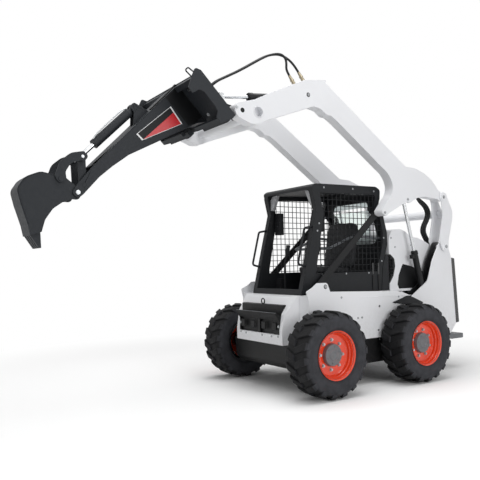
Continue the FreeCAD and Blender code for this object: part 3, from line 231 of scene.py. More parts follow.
direct = straight(tree)
away = add(tree, "ShaderNodeVectorMath", {0: add(tree, "ShaderNodeTexCoord").outputs["Object"],
                                          1: (0.0, 0.2, 0.0)}, operation="DISTANCE")
fade = add(tree, "ShaderNodeMapRange", {"Value": away, "From Min": 2.6, "From Max": 5.0},
           interpolation_type="SMOOTHSTEP")
share = add(tree, "ShaderNodeMath", {0: fade, 1: direct}, operation="MULTIPLY")
# painted shadow: the floor's glow for the eye is dimmed by ambient occlusion, so it darkens under and near the machine
painted_shadow_occlusion = add(tree, "ShaderNodeAmbientOcclusion", {"Distance": 1.6})
painted_shadow_share = add(tree, "ShaderNodeMath", {0: painted_shadow_occlusion.outputs["AO"], 1: 2.0}, operation="POWER")
strength = add(tree, "ShaderNodeMath", {0: painted_shadow_share, 1: 0.24}, operation="MULTIPLY")
lift = add(tree, "ShaderNodeEmission", {"Color": (1, 1, 1, 1), "Strength": strength})
matt = add(tree, "ShaderNodeBsdfDiffuse", {"Color": colour("FBFBFB")})
floor_with_painted_shadow = add(tree, "ShaderNodeMixShader", {0: direct, 1: matt, 2: add(tree, "ShaderNodeAddShader", {0: matt,
                                                                                1: lift})})
blank = add(tree, "ShaderNodeEmission", {"Color": (1, 1, 1, 1), "Strength": 1.0})
ground = add(tree, "ShaderNodeMixShader", {0: share, 1: floor_with_painted_shadow, 2: blank})
add(tree, "ShaderNodeOutputMaterial", {"Surface": ground})
floor_mesh.materials.append(pale)

world = bpy.data.worlds.new("surround")
scene.world = world
world.use_nodes = True
tree = world.node_tree
tree.nodes.clear()
strength = add(tree, "ShaderNodeMapRange", {"Value": straight(tree), "To Min": 0.30, "To Max": 1.0})
sky = add(tree, "ShaderNodeBackground", {"Color": (1, 1, 1, 1), "Strength": strength})
add(tree, "ShaderNodeOutputWorld", {"Surface": sky})

for name, spot, size, power in (("lamp_overhead", (0.3, -0.2, 6.0), 5.0, 250),
                                ("lamp_left", (6.5, 0.6, 2.8), 3.4, 128),
                                ("lamp_front", (1.8, -7.0, 2.4), 3.2, 48)):
    light = bpy.data.lights.new(name, "AREA")
    light.energy, light.size = power, size
    lamp = bpy.data.objects.new(name, light)
    lamp.location = spot
    lamp.rotation_euler = (Vector((0, 0, 1.0)) - Vector(spot)).to_track_quat("-Z", "Y").to_euler()
    lamp.visible_camera = False
    scene.collection.objects.link(lamp)


# Chassis tub and rear towers: 12 mm steel plate, welded, then sprayed white. The plates' edges are
# slightly rounded by the paint, and dust gathers low down. Bolt heads and weld beads are pieces of their own.
def painted_steel(name, paint, dust, roughness, dust_below=0.9, dust_share=0.35):
    """Sprayed two-pack enamel on steel plate: an even satin film with a fine orange peel of about 3 mm,
    broad clouds where the film is thicker, and dull dust on the lower parts."""
    made, tree, shader, place = finish_of(name, roughness)
    clouds = add(tree, "ShaderNodeTexNoise", {"Vector": place, "Scale": 2.6, "Detail": 5.0, "Roughness": 0.6})
    specks = add(tree, "ShaderNodeTexNoise", {"Vector": place, "Scale": 38.0, "Detail": 6.0, "Roughness": 0.7})
    height = add(tree, "ShaderNodeSeparateXYZ", {0: place})
    low = add(tree, "ShaderNodeMapRange", {"Value": height.outputs["Z"], "From Min": dust_below, "From Max": 0.1})
    patch = add(tree, "ShaderNodeMapRange", {"Value": specks, "From Min": 0.42, "From Max": 0.7})
    amount = add(tree, "ShaderNodeMath", {0: low, 1: patch}, operation="MULTIPLY")
    streak = add(tree, "ShaderNodeMapRange", {"Value": clouds, "From Min": 0.45, "From Max": 0.8,
                                              "To Max": 0.14})
    amount = add(tree, "ShaderNodeMath", {0: amount, 1: streak}, operation="ADD")
    amount = add(tree, "ShaderNodeMapRange", {"Value": amount, "From Max": 1.1, "To Max": dust_share})
    tone = add(tree, "ShaderNodeMix", {"Factor": amount, "A": colour(paint), "B": colour(dust)},
               data_type="RGBA")
    feed(tree, shader, {"Base Color": tone})
    dull = add(tree, "ShaderNodeMapRange", {"Value": specks, "From Min": 0.3, "From Max": 0.75,
                                            "To Min": roughness - 0.06, "To Max": roughness + 0.14})
    feed(tree, shader, {"Roughness": dull})
    peel = add(tree, "ShaderNodeTexNoise", {"Vector": place, "Scale": 300.0, "Detail": 2.0})
    skin = add(tree, "ShaderNodeBump", {"Height": peel, "Strength": 0.10, "Distance": 0.0006})
    waves = add(tree, "ShaderNodeBump", {"Height": clouds, "Strength": 0.05, "Distance": 0.01, "Normal": skin})
    feed(tree, shader, {"Normal": waves})
    return made


def socket(tree, name, kind, way="INPUT"):
    return tree.interface.new_socket(name=name, in_out=way, socket_type=kind)


def new_tree(name):
    """An empty Geometry Nodes tree with its geometry going in and out."""
    tree = bpy.data.node_groups.new(name, "GeometryNodeTree")
    socket(tree, "Geometry", "NodeSocketGeometry", "OUTPUT")
    socket(tree, "Geometry", "NodeSocketGeometry")
    return tree


# each carried-over solid is loose triangles: this joins them and marks the edges that are sharp
welded = new_tree("joined_plate_edges")
socket(welded, "Sharp Above", "NodeSocketFloat")
source = add(welded, "NodeGroupInput")
joined = add(welded, "GeometryNodeMergeByDistance", {"Geometry": source.outputs["Geometry"], "Distance": 0.00004})
smooth = add(welded, "GeometryNodeSetShadeSmooth", {"Geometry": joined})
bend = add(welded, "GeometryNodeInputMeshEdgeAngle")
sharp = add(welded, "FunctionNodeCompare", {0: bend, 1: source.outputs["Sharp Above"]},
            operation="GREATER_THAN")
creased = add(welded, "GeometryNodeSetShadeSmooth", {"Geometry": smooth,
                                                     "Selection": sharp, "Shade Smooth": False}, domain="EDGE")
add(welded, "NodeGroupOutput", {"Geometry": creased})


def dress(node, finish, edge=0.0025):
    """Gives a carried-over solid its finish, soft edges and clean shading."""
    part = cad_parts[node]
    part.data.materials.clear()
    part.data.materials.append(finish)
    if "custom_normal" in part.data.attributes:
        part.data.attributes.remove(part.data.attributes["custom_normal"])
    join = part.modifiers.new("joined", "NODES")
    join.node_group = welded
    join[welded.interface.items_tree["Sharp Above"].identifier] = math.radians(30)
    if edge:
        round_off = part.modifiers.new("soft_edges", "BEVEL")
        round_off.width, round_off.segments = edge, 2
        round_off.limit_method, round_off.angle_limit = "ANGLE", math.radians(30)
        round_off.harden_normals = True
    return part


white = painted_steel("white_satin_enamel", "E9EAED", "A79F92", 0.36)
black = painted_steel("black_satin_enamel", "101113", "3A3733", 0.46, dust_share=0.4)
grey = painted_steel("grey_satin_enamel", "6E7175", "8A8378", 0.45)
dress("chassis_tub", white, 0.003)


def painted_shade_inside(tree, shader, place, reach):
    """Turns a finish black nearer to the machine's middle plane than reach: painted shade for hollows and inboard
    sides.
    """
    outer = shader.inputs["Base Color"].links[0].from_socket
    spot = add(tree, "ShaderNodeSeparateXYZ", {0: place})
    depth = add(tree, "ShaderNodeMath", {0: spot.outputs["X"]}, operation="ABSOLUTE")
    painted_shade_mask = add(tree, "ShaderNodeMath", {0: depth, 1: reach}, operation="LESS_THAN")
    tone = add(tree, "ShaderNodeMix", {"Factor": painted_shade_mask, "A": outer, "B": colour("151618")}, data_type="RGBA")
    feed(tree, shader, {"Base Color": tone})


# painted shade: the towers' inner walls are made black, so the white stops at the edges of the outer plates and the
# hollow reads as shade
tower_coat_with_painted_shade = white.copy()
tower_coat_with_painted_shade.name = "white_enamel_black_inside"
tree = tower_coat_with_painted_shade.node_tree
shader = tree.nodes["Principled BSDF"]
painted_shade_inside(tree, shader, tree.nodes["Texture Coordinate"].outputs["Object"], 0.5475)
dress("rear_towers", tower_coat_with_painted_shade, 0.003)

# bolt heads: a hexagon head on a washer, set on every spot of a list of places with their directions
bolt_tree = new_tree("bolt_heads")
for label in ("Head Radius", "Head Height"):
    socket(bolt_tree, label, "NodeSocketFloat")
socket(bolt_tree, "Finish", "NodeSocketMaterial")
source = add(bolt_tree, "NodeGroupInput")
washer_radius = add(bolt_tree, "ShaderNodeMath", {0: source.outputs["Head Radius"], 1: 1.35}, operation="MULTIPLY")
washer = add(bolt_tree, "GeometryNodeMeshCylinder", {"Vertices": 16, "Radius": washer_radius, "Depth": 0.003})
head = add(bolt_tree, "GeometryNodeMeshCylinder", {"Vertices": 6, "Radius": source.outputs["Head Radius"],
                                                   "Depth": source.outputs["Head Height"]})
rise = add(bolt_tree, "ShaderNodeMath", {0: source.outputs["Head Height"], 1: 0.5}, operation="MULTIPLY")
seat = add(bolt_tree, "ShaderNodeCombineXYZ", {"Z": rise})
stood = add(bolt_tree, "GeometryNodeTransform", {"Geometry": head, "Translation": seat})
whole = add(bolt_tree, "GeometryNodeJoinGeometry", {"Geometry": washer})
feed(bolt_tree, whole, {"Geometry": stood})
spots = add(bolt_tree, "GeometryNodeMeshToPoints", {"Mesh": source.outputs["Geometry"]})
facing = add(bolt_tree, "GeometryNodeInputNamedAttribute", {"Name": "facing"}, data_type="FLOAT_VECTOR")
turned = add(bolt_tree, "FunctionNodeAlignRotationToVector", {"Vector": facing}, axis="Z")
copies = add(bolt_tree, "GeometryNodeInstanceOnPoints", {"Points": spots, "Instance": whole,
                                                         "Rotation": turned})
real = add(bolt_tree, "GeometryNodeRealizeInstances", {"Geometry": copies})
coated = add(bolt_tree, "GeometryNodeSetMaterial", {"Geometry": real, "Material": source.outputs["Finish"]})
add(bolt_tree, "NodeGroupOutput", {"Geometry": coated})


def grown(name, mesh, tree, body, slot, **inputs):
    """Runs a tree on a mesh, keeps its result as a plain mesh and lets it ride on its body."""
    made = bpy.data.objects.new(name, mesh)
    scene.collection.objects.link(made)
    step = made.modifiers.new("grown", "NODES")
    step.node_group = tree
    for label, value in inputs.items():
        step[tree.interface.items_tree[label.replace("_", " ")].identifier] = value
    result = evaluated(made)
    bpy.data.objects.remove(made)
    return piece(name, result, body)


def bolts(name, body, places, radius, height, finish, slot):
    """Bolt heads at places, each a point and the direction that its head faces."""
    mesh = bpy.data.meshes.new(name)
    mesh.from_pydata([spot for spot, way in places], [], [])
    aim = mesh.attributes.new("facing", "FLOAT_VECTOR", "POINT")
    for item, (spot, way) in zip(aim.data, places):
        item.vector = way
    return grown(name, mesh, bolt_tree, body, slot, Head_Radius=radius, Head_Height=height, Finish=finish)


# zinc plated steel: a cool bright grey with cloudy dulling, for bolts and pin caps
zinc = textured("zinc_plated_steel", "8E9194", "BFC1C2", (90.0, 4.0), 0.38, metallic=1.0)

left, right = Vector((1, 0, 0)), Vector((-1, 0, 0))
front, back = Vector((0, -1, 0)), Vector((0, 1, 0))
side_bolts = []
for y, z in ((576, 683), (632, 684), (862, 540), (913, 536), (359, 899), (30, 560), (30, 700), (1180, 870), (150, 620)):
    side_bolts += [(machine(560, y, z), left), (machine(-560, y, z), right)]
bolts("side_plate_bolts", "chassis", side_bolts, 0.0085, 0.007, zinc, "black_paint")
bolts("nose_bolts", "chassis", [(machine(x, -254, z), front) for x, z in
                                ((-320, 545), (-225, 540), (60, 540), (215, 540), (320, 545))],
      0.009, 0.006, zinc, "black_paint")

# weld beads: overlapping flat ripples laid along a seam
bead_tree = new_tree("weld_beads")
socket(bead_tree, "Ripple", "NodeSocketFloat")
socket(bead_tree, "Width", "NodeSocketFloat")
socket(bead_tree, "Finish", "NodeSocketMaterial")
source = add(bead_tree, "NodeGroupInput")
seam = add(bead_tree, "GeometryNodeMeshToCurve", {"Mesh": source.outputs["Geometry"]})
even = add(bead_tree, "GeometryNodeResampleCurve", {"Curve": seam, "Length": source.outputs["Ripple"]},
           mode="LENGTH")
drop = add(bead_tree, "GeometryNodeMeshUVSphere", {"Segments": 6, "Rings": 4, "Radius": source.outputs["Width"]})
uneven = add(bead_tree, "FunctionNodeRandomValue", {"Min": (0.8, 0.8, 0.8), "Max": (1.1, 1.1, 1.0), "Seed": 4},
             data_type="FLOAT_VECTOR")
laid = add(bead_tree, "GeometryNodeInstanceOnPoints", {"Points": even, "Instance": drop, "Scale": uneven})
real = add(bead_tree, "GeometryNodeRealizeInstances", {"Geometry": laid})
even_skin = add(bead_tree, "GeometryNodeSetShadeSmooth", {"Geometry": real})
coated = add(bead_tree, "GeometryNodeSetMaterial", {"Geometry": even_skin,
                                                    "Material": source.outputs["Finish"]})
add(bead_tree, "NodeGroupOutput", {"Geometry": coated})


def weld_beads(name, body, seams, finish, slot, width=0.0035):
    """Beads along seams, each a list of points."""
    mesh = bpy.data.meshes.new(name)
    corners, edges = [], []
    for points in seams:
        start = len(corners)
        corners += points
        edges += [(start + i, start + i + 1) for i in range(len(points) - 1)]
    mesh.from_pydata(corners, edges, [])
    return grown(name, mesh, bead_tree, body, slot, Ripple=width * 1.3, Width=width, Finish=finish)


tub_seams = []
for hand in (1, -1):
    tub_seams.append([machine(hand * 560, y, z) for y, z in ((612, 886), (1000, 882), (1375, 876))])
    tub_seams.append([machine(hand * 549, -58, z) for z in (470, 860)])
    tub_seams.append([machine(hand * 441, -76, z) for z in (470, 900)])
    tub_seams.append([machine(hand * 390, -254.5, z) for z in (470, 590)])
    tub_seams.append([machine(hand * 560.5, y, z) for y, z in ((1361, 430), (1361, 850))])
weld_beads("tub_welds", "chassis", tub_seams, white, "white_paint")


# Front step: a black pressed box let into the nose, with a dull grey anti-slip visor and a lifting ring.
# Behind the open box the ends of the mounting brackets show.
dress("front_step", black, 0.002)


def slab(name, outline, x0, x1, body, finish, place=machine):
    """A plate with the given outline, between two planes across the machine."""
    shape = bmesh.new()
    near = [shape.verts.new(place(x0, a, b)) for a, b in outline]
    far = [shape.verts.new(place(x1, a, b)) for a, b in outline]
    shape.faces.new(near)
    shape.faces.new(far[::-1])
    for i in range(len(outline)):
        shape.faces.new((near[i - 1], near[i], far[i], far[i - 1])[::-1])
    bmesh.ops.recalc_face_normals(shape, faces=shape.faces)
    mesh = bpy.data.meshes.new(name)
    shape.to_mesh(mesh)
    shape.free()
    made = piece(name, mesh, body, finish)
    round_off = made.modifiers.new("soft_edges", "BEVEL")
    round_off.width, round_off.segments, round_off.limit_method = 0.0012, 2, "ANGLE"
    return made


def both_sides(name, outline, x0, x1, body, finish, place=machine):
    """The same plate on the left and on the right."""
    for side, hand in (("left", 1), ("right", -1)):
        slab("%s_%s" % (name, side), outline, hand * x0, hand * x1, body, finish, place)


slab("visor_grip", [(-298, 772.5), (-290, 775), (-238, 742.5), (-244, 739)], -338, 338, "chassis", grey)
for number, x in enumerate((-300, -120, 60, 240)):
    slab("step_bracket_%d" % number, [(-252, 600), (-252, 680), (-262, 670), (-262, 610)], x, x + 60, "chassis",
         black)
bolts("step_bolts", "chassis", [(machine(x, -250.5, z), front) for x in (-330, 330) for z in (640, 716)],
      0.010, 0.008, zinc, "black_paint")


# Belly, axle stubs, bumper and fenders: black plate under the white tub, grey bumper bar, moulded fenders.
# Thick paint that stays dull where stones strike it.
dress("chaincase", black, 0.004)
dress("axle_stubs", black, 0.003)
dress("rear_bumper", grey, 0.004)

# polypropylene fender, moulded with a fine 1 mm grain: dull dark grey
moulded = textured("moulded_polypropylene", "17181A", "26272A", (12.0, 4.0), 0.62, ior=1.49, relief=(
    "ShaderNodeTexVoronoi", {"Scale": 700.0}, {}, "Distance", 0.2, 0.0005))
dress("rear_fenders", moulded, 0.002)
both_sides("fender_web", [(1100, 806), (1236, 846), (1295, 865), (1345, 865), (1418, 838), (1548, 786), (1500, 742),
                          (1360, 770)], 561.5, 568, "chassis", moulded)
bolts("belly_bolts", "chassis", [(machine(hand * 540.5, y, 440), left * hand) for hand in (1, -1)
                                 for y in (-90, 330, 620, 900)], 0.009, 0.007, zinc, "black_paint")
bolts("bumper_bolts", "chassis", [(machine(x, 2253, 372), back) for x in (-480, -160, 160, 480)],
      0.013, 0.010, zinc, "grey_paint")


# Wheels: bias-ply tyres with two rows of deep chevron lugs, on pressed steel rims painted orange-red.
# Each rim carries a grey cast hub held by eight nuts. The lugs are one block repeated round the axle.
def turned_ring(profile, steps=96):
    """A mesh turned about the X axis from (x, radius) points, closed where the radius is nought."""
    shape = bmesh.new()
    rings = []
    for x, r in profile:
        if r < 1e-6:
            rings.append([shape.verts.new((x, 0, 0))])
        else:
            rings.append([shape.verts.new((x, r * math.cos(turn), r * math.sin(turn)))
                          for turn in (2 * math.pi * i / steps for i in range(steps))])
    for one, two in zip(rings, rings[1:]):
        for i in range(steps):
            j = (i + 1) % steps
            corners = []
            for ring, k in ((one, i), (one, j), (two, j), (two, i)):
                v = ring[k % len(ring)]
                if v not in corners:
                    corners.append(v)
            if len(corners) > 2:
                shape.faces.new(corners)
    bmesh.ops.remove_doubles(shape, verts=shape.verts, dist=1e-6)
    bmesh.ops.recalc_face_normals(shape, faces=shape.faces)
    mesh = bpy.data.meshes.new("turned")
    shape.to_mesh(mesh)
    shape.free()
    mesh.shade_smooth()
    mesh.set_sharp_from_angle(angle=math.radians(32))
    return mesh


# vulcanised tyre rubber: nearly black and matt, greyer on the sidewall, partly dust and partly painted sheen, with fine
# moulding rings
rubber, tree, shader, place = finish_of("vulcanised_tyre_rubber", 0.74, ior=1.52)
dusty = add(tree, "ShaderNodeTexNoise", {"Vector": place, "Scale": 9.0, "Detail": 6.0, "Roughness": 0.65})
normal = add(tree, "ShaderNodeSeparateXYZ", {0: add(tree, "ShaderNodeNewGeometry").outputs["Normal"]})
side = add(tree, "ShaderNodeMath", {0: normal.outputs["X"]}, operation="ABSOLUTE")
# dust and painted sheen: faces turned outwards along the axle are made greyer
sidewall_dust_and_sheen = add(tree, "ShaderNodeMapRange", {"Value": side, "From Min": 0.55, "From Max": 0.95, "To Min": 0.05})
dust_share = add(tree, "ShaderNodeMath", {0: sidewall_dust_and_sheen, 1: dusty}, operation="MULTIPLY")
tone = add(tree, "ShaderNodeMix", {"Factor": dust_share, "A": colour("0E0E10"), "B": colour("46474C")},
           data_type="RGBA")
feed(tree, shader, {"Base Color": tone})
grain = add(tree, "ShaderNodeTexNoise", {"Vector": place, "Scale": 420.0, "Detail": 3.0})
raised = add(tree, "ShaderNodeBump", {"Height": grain, "Strength": 0.25, "Distance": 0.0008})
feed(tree, shader, {"Normal": raised})

# gloss enamel on the pressed rim: saturated orange-red with a thin clear reflection; its inboard side is made black as
# painted shade
orange, tree, shader, place = finish_of("orange_red_gloss_enamel", 0.27)
film = add(tree, "ShaderNodeTexNoise", {"Vector": place, "Scale": 7.0, "Detail": 4.0})
tone = add(tree, "ShaderNodeMix", {"Factor": film, "A": colour("DE3A18"), "B": colour("F04A22")},
           data_type="RGBA")
feed(tree, shader, {"Base Color": tone})
# painted shade: nearer the middle plane than 0.765 m the rim turns black
painted_shade_inside(tree, shader, place, 0.765)
shader.inputs["Coat Weight"].default_value = 0.4
peel = add(tree, "ShaderNodeTexNoise", {"Vector": place, "Scale": 260.0, "Detail": 2.0})
raised = add(tree, "ShaderNodeBump", {"Height": peel, "Strength": 0.08, "Distance": 0.0005})
feed(tree, shader, {"Normal": raised})

carcass = [(0.602, 0.2105), (0.600, 0.232), (0.594, 0.240), (0.585, 0.252), (0.581, 0.262), (0.580, 0.276),
           (0.5795, 0.300), (0.5815, 0.325), (0.584, 0.345), (0.592, 0.360), (0.603, 0.369), (0.622, 0.376),
           (0.645, 0.3795), (0.690, 0.3815), (0.7325, 0.382), (0.775, 0.3815), (0.820, 0.3795), (0.843, 0.376),
           (0.862, 0.369), (0.873, 0.360), (0.881, 0.345), (0.8835, 0.325), (0.8855, 0.318), (0.8855, 0.308),
           (0.8845, 0.300), (0.885, 0.280), (0.884, 0.266), (0.880, 0.252), (0.871, 0.241), (0.866, 0.232),
           (0.863, 0.2105)]
rim_profile = [(0.700, 0.0553), (0.770, 0.0553), (0.7705, 0.080), (0.7705, 0.103), (0.785, 0.104), (0.786, 0.176),
               (0.789, 0.186), (0.797, 0.193), (0.815, 0.1955), (0.822, 0.1985), (0.827, 0.2035), (0.850, 0.2055),
               (0.860, 0.2105), (0.869, 0.219), (0.874, 0.2245), (0.873, 0.226), (0.868, 0.226), (0.8635, 0.2135),
               (0.862, 0.2103), (0.603, 0.2103), (0.600, 0.2135), (0.598, 0.226), (0.592, 0.226), (0.594, 0.210),
               (0.603, 0.202), (0.760, 0.2015), (0.772, 0.194), (0.7715, 0.095), (0.700, 0.095), (0.700, 0.0553)]
hub_profile = [(0.771, 0.1035), (0.8155, 0.1005), (0.822, 0.0975), (0.8235, 0.090), (0.822, 0.080), (0.8225, 0.056),
               (0.826, 0.050), (0.829, 0.046), (0.829, 0.030), (0.826, 0.0265), (0.8245, 0.020), (0.8245, 0.0)]

# one lug: it starts on the middle of the tread, runs outwards and back, and drops over the shoulder
lug_stations = ((0.7365, 0.000, 0.402, 0.058), (0.770, 0.034, 0.402, 0.063), (0.812, 0.078, 0.4015, 0.068),
                (0.846, 0.114, 0.398, 0.071), (0.866, 0.132, 0.388, 0.071), (0.8785, 0.140, 0.371, 0.066),
                (0.8845, 0.143, 0.352, 0.058))
lug_shape = bmesh.new()
strips = []
for x, angle, tip, width in lug_stations:
    base = tip - 0.0235 if x < 0.85 else tip - 0.014
    half, top = width / 2 / 0.39, width / 2 / 0.39 - 0.014
    strip = []
    for turn, r, lean in ((-half, base, -0.006), (-half, tip - 0.006, 0), (-top, tip, 0), (top, tip, 0),
                          (half, tip - 0.006, 0), (half, base, -0.006)):
        spin = angle + turn
        strip.append(lug_shape.verts.new((x + (lean if x > 0.85 else 0), r * math.sin(spin), r * math.cos(spin))))
    strips.append(strip)
for one, two in zip(strips, strips[1:]):
    for i in range(5):
        lug_shape.faces.new((one[i], one[i + 1], two[i + 1], two[i]))
lug_shape.faces.new(strips[0])
lug_shape.faces.new(strips[-1][::-1])
bmesh.ops.recalc_face_normals(lug_shape, faces=lug_shape.faces)
bmesh.ops.bevel(lug_shape, geom=[e for e in lug_shape.edges if e.is_manifold and e.calc_face_angle() > 0.5],
                offset=0.0022, segments=1, affect="EDGES")
outer_lug = bpy.data.meshes.new("outer_lug")
lug_shape.to_mesh(outer_lug)
lug_shape.free()

# the tread tree: copies a lug round the axle for both rows and joins the turned carcass
tread_tree = new_tree("tread_lugs")
socket(tread_tree, "Lug", "NodeSocketObject")
socket(tread_tree, "Lugs a Row", "NodeSocketInt")
socket(tread_tree, "Tread Middle", "NodeSocketFloat")
socket(tread_tree, "Finish", "NodeSocketMaterial")
source = add(tread_tree, "NodeGroupInput")
lug_source = add(tread_tree, "GeometryNodeObjectInfo", {"Object": source.outputs["Lug"]})
row = add(tread_tree, "GeometryNodeMeshLine", {"Count": source.outputs["Lugs a Row"], "Offset": (0.0, 0.0, 0.0)})
turn_step = add(tread_tree, "ShaderNodeMath", {0: 2 * math.pi, 1: source.outputs["Lugs a Row"]}, operation="DIVIDE")
rows = []
for offset in (0.0, 0.5):
    place_in_row = add(tread_tree, "ShaderNodeMath", {0: add(tread_tree, "GeometryNodeInputIndex").outputs[0],
                                                      1: offset}, operation="ADD")
    turned_by = add(tread_tree, "ShaderNodeMath", {0: place_in_row, 1: turn_step}, operation="MULTIPLY")
    spin_by = add(tread_tree, "ShaderNodeCombineXYZ", {"X": turned_by})
    ring = add(tread_tree, "GeometryNodeInstanceOnPoints", {"Points": row,
                                                            "Instance": lug_source.outputs["Geometry"],
                                                            "Rotation": spin_by})
    rows.append(add(tread_tree, "GeometryNodeRealizeInstances", {"Geometry": ring}))
twice = add(tread_tree, "ShaderNodeMath", {0: source.outputs["Tread Middle"], 1: 2.0}, operation="MULTIPLY")
over = add(tread_tree, "ShaderNodeCombineXYZ", {"X": twice})
flipped = add(tread_tree, "GeometryNodeTransform", {"Geometry": rows[1].outputs["Geometry"],
                                                    "Translation": over, "Scale": (-1.0, 1.0, 1.0)})
outward = add(tread_tree, "GeometryNodeFlipFaces", {"Mesh": flipped})
tread = add(tread_tree, "GeometryNodeJoinGeometry", {"Geometry": source.outputs["Geometry"]})
feed(tread_tree, tread, {"Geometry": rows[0]})
feed(tread_tree, tread, {"Geometry": outward})
coated = add(tread_tree, "GeometryNodeSetMaterial", {"Geometry": tread, "Material": source.outputs["Finish"]})
add(tread_tree, "NodeGroupOutput", {"Geometry": coated})

lug_object = bpy.data.objects.new("lug_pattern", outer_lug)
scene.collection.objects.link(lug_object)
for wheel, hand, axle_y in (("front_left", 1, 0), ("front_right", -1, 0), ("rear_left", 1, 1232),
                            ("rear_right", -1, 1232)):
    body = "wheel_" + wheel
    centre = Matrix.Translation(machine(0, axle_y, 402)) @ Matrix.Diagonal((hand, 1, 1, 1))
    lean = 0.35 if wheel.startswith("front") else 0.9
    tyre = grown("tyre_" + wheel + "_tread", turned_ring(carcass, 120), tread_tree, body, "tyre_rubber",
                 Lug=lug_object, Lugs_a_Row=18, Tread_Middle=0.7325, Finish=rubber)
    parts = [tyre]
    parts.append(piece("rim_%s_turned" % wheel, turned_ring(rim_profile), body, orange))
    parts.append(piece("hub_%s_turned" % wheel, turned_ring(hub_profile, 64), body, grey))
    nut_places = [(Vector((0.786, 0.136 * math.cos(a), 0.136 * math.sin(a))), left)
                  for a in (math.radians(45 * i + 22) for i in range(8))]
    parts.append(bolts("nuts_" + wheel, body, nut_places, 0.0125, 0.016, zinc, "grey_paint"))
    cap_places = [(Vector((0.8235, 0.074 * math.cos(a), 0.074 * math.sin(a))), left)
                  for a in (math.radians(60 * i) for i in range(6))]
    parts.append(bolts("hub_bolts_" + wheel, body, cap_places, 0.005, 0.004, grey, "grey_paint"))
    spun = centre @ Matrix.Rotation(lean, 4, "X")
    for made in parts:
        made.data.transform(spun)
        if hand < 0:
            made.data.flip_normals()
    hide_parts("tyre_" + wheel)
    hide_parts("rim_" + wheel)
bpy.data.objects.remove(lug_object)


# Cab: a welded frame of square tube and pressed panels, painted satin black. Hinged side strips, a latch
# and the panel bolts are on its left; the side windows are closed by welded wire screens.
cab_black = painted_steel("black_powder_coat", "141619", "2E3033", 0.5, dust_below=1.3, dust_share=0.25)
dress("cab_shell", cab_black, 0.004)

# polycarbonate lamp lens in a grey housing, moulded with level flutes 5 mm apart: pale and glossy
flutes = ("ShaderNodeTexWave", {"Scale": 64.0}, {"bands_direction": "Z"}, "Fac", 0.4, 0.001)
lamp_lens = textured("polycarbonate_lamp_lens", "85868A", "B9BABC", (0, 0), 0.2, ior=1.58, relief=flutes)
dress("work_lamps", lamp_lens, 0.002)


# the screen tree: turns every line of a mesh into a round wire
wire_tree = new_tree("screen_wires")
socket(wire_tree, "Wire Radius", "NodeSocketFloat")
socket(wire_tree, "Finish", "NodeSocketMaterial")
source = add(wire_tree, "NodeGroupInput")
run = add(wire_tree, "GeometryNodeMeshToCurve", {"Mesh": source.outputs["Geometry"]})
ring = add(wire_tree, "GeometryNodeCurvePrimitiveCircle", {"Resolution": 6, "Radius": source.outputs["Wire Radius"]})
wire = add(wire_tree, "GeometryNodeCurveToMesh", {"Curve": run, "Profile Curve": ring, "Fill Caps": True})
coated = add(wire_tree, "GeometryNodeSetMaterial", {"Geometry": wire, "Material": source.outputs["Finish"]})
add(wire_tree, "NodeGroupOutput", {"Geometry": coated})


def crossings(outline, value, axis):
    """Where a straight line at value on one axis enters and leaves an outline, in pairs."""
    hits = []
    for i in range(len(outline)):
        p, q = outline[i - 1], outline[i]
        if (p[axis] > value) != (q[axis] > value):
            t = (value - p[axis]) / (q[axis] - p[axis])
            hits.append(p[1 - axis] + (q[1 - axis] - p[1 - axis]) * t)
    hits.sort()
    return list(zip(hits[::2], hits[1::2]))


def wire_screen(name, outline, x, pitch, radius, body, finish, frame_inset=4):
    """Upright and level wires inside an outline, the two layers lying on each other."""
    points, edges = [], []
    lows = [min(p[i] for p in outline) for i in (0, 1)]
    highs = [max(p[i] for p in outline) for i in (0, 1)]
    for axis in (0, 1):
        count = int((highs[axis] - lows[axis] - 2 * frame_inset) / pitch[axis])
        start = (lows[axis] + highs[axis] - count * pitch[axis]) / 2
        for i in range(count + 1):
            at = start + i * pitch[axis]
            for low, high in crossings(outline, at, axis):
                if high - low < 12:
                    continue
                ends = ((at, low), (at, high)) if axis == 0 else ((low, at), (high, at))
                depth = x + (radius * 900 if axis == 0 else -radius * 900)
                edges.append((len(points), len(points) + 1))
                points += [machine(depth, *end) for end in ends]
    mesh = bpy.data.meshes.new(name)
    mesh.from_pydata(points, edges, [])
    return grown(name, mesh, wire_tree, body, "black_paint", Wire_Radius=radius, Finish=finish)


window = [(168, 1140), (292, 1742), (244, 1950), (1012, 1962), (1030, 1935), (1000, 1822), (1090, 1722),
          (1128, 1560), (1122, 1440), (1092, 1330), (1040, 1190), (1030, 1140)]
screens = [wire_screen("side_screen_left", window, 398, (58, 61), 0.004, "chassis", cab_black),
           wire_screen("side_screen_right", window, -398, (58, 61), 0.004, "chassis", cab_black)]
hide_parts("side_screens")

for hand in (1, -1):
    sign = "left" if hand > 0 else "right"
    for number, y in enumerate((964, 1048)):
        slab("cab_strip_%s_%d" % (sign, number), [(y - 9, 1112), (y - 9, 1230), (y + 9, 1230), (y + 9, 1112)],
             hand * 410, hand * 413, "chassis", orange)
        slab("cab_stay_%s_%d" % (sign, number), [(y - 13, 945), (y - 13, 1106), (y + 13, 1106), (y + 13, 945)],
             hand * 410, hand * 418, "chassis", black)
    slab("cab_latch_" + sign, [(935, 905), (935, 932), (1045, 932), (1045, 905)], hand * 410, hand * 426, "chassis",
         black)
    slab("cab_lower_panel_" + sign, [(60, 950), (130, 1118), (930, 1118), (930, 950)], hand * 409.5, hand * 411.5,
         "chassis", cab_black)
bolts("cab_panel_bolts", "chassis", [(machine(hand * 410.5, y, z), left * hand) for hand in (1, -1) for y, z in
                                     ((200, 1565), (225, 1640), (300, 2005), (700, 2010), (1010, 2000), (900, 1128),
                                      (250, 1128), (575, 1128), (1100, 1250), (1140, 1500))],
      0.007, 0.005, zinc, "black_paint")
cab_seams = []
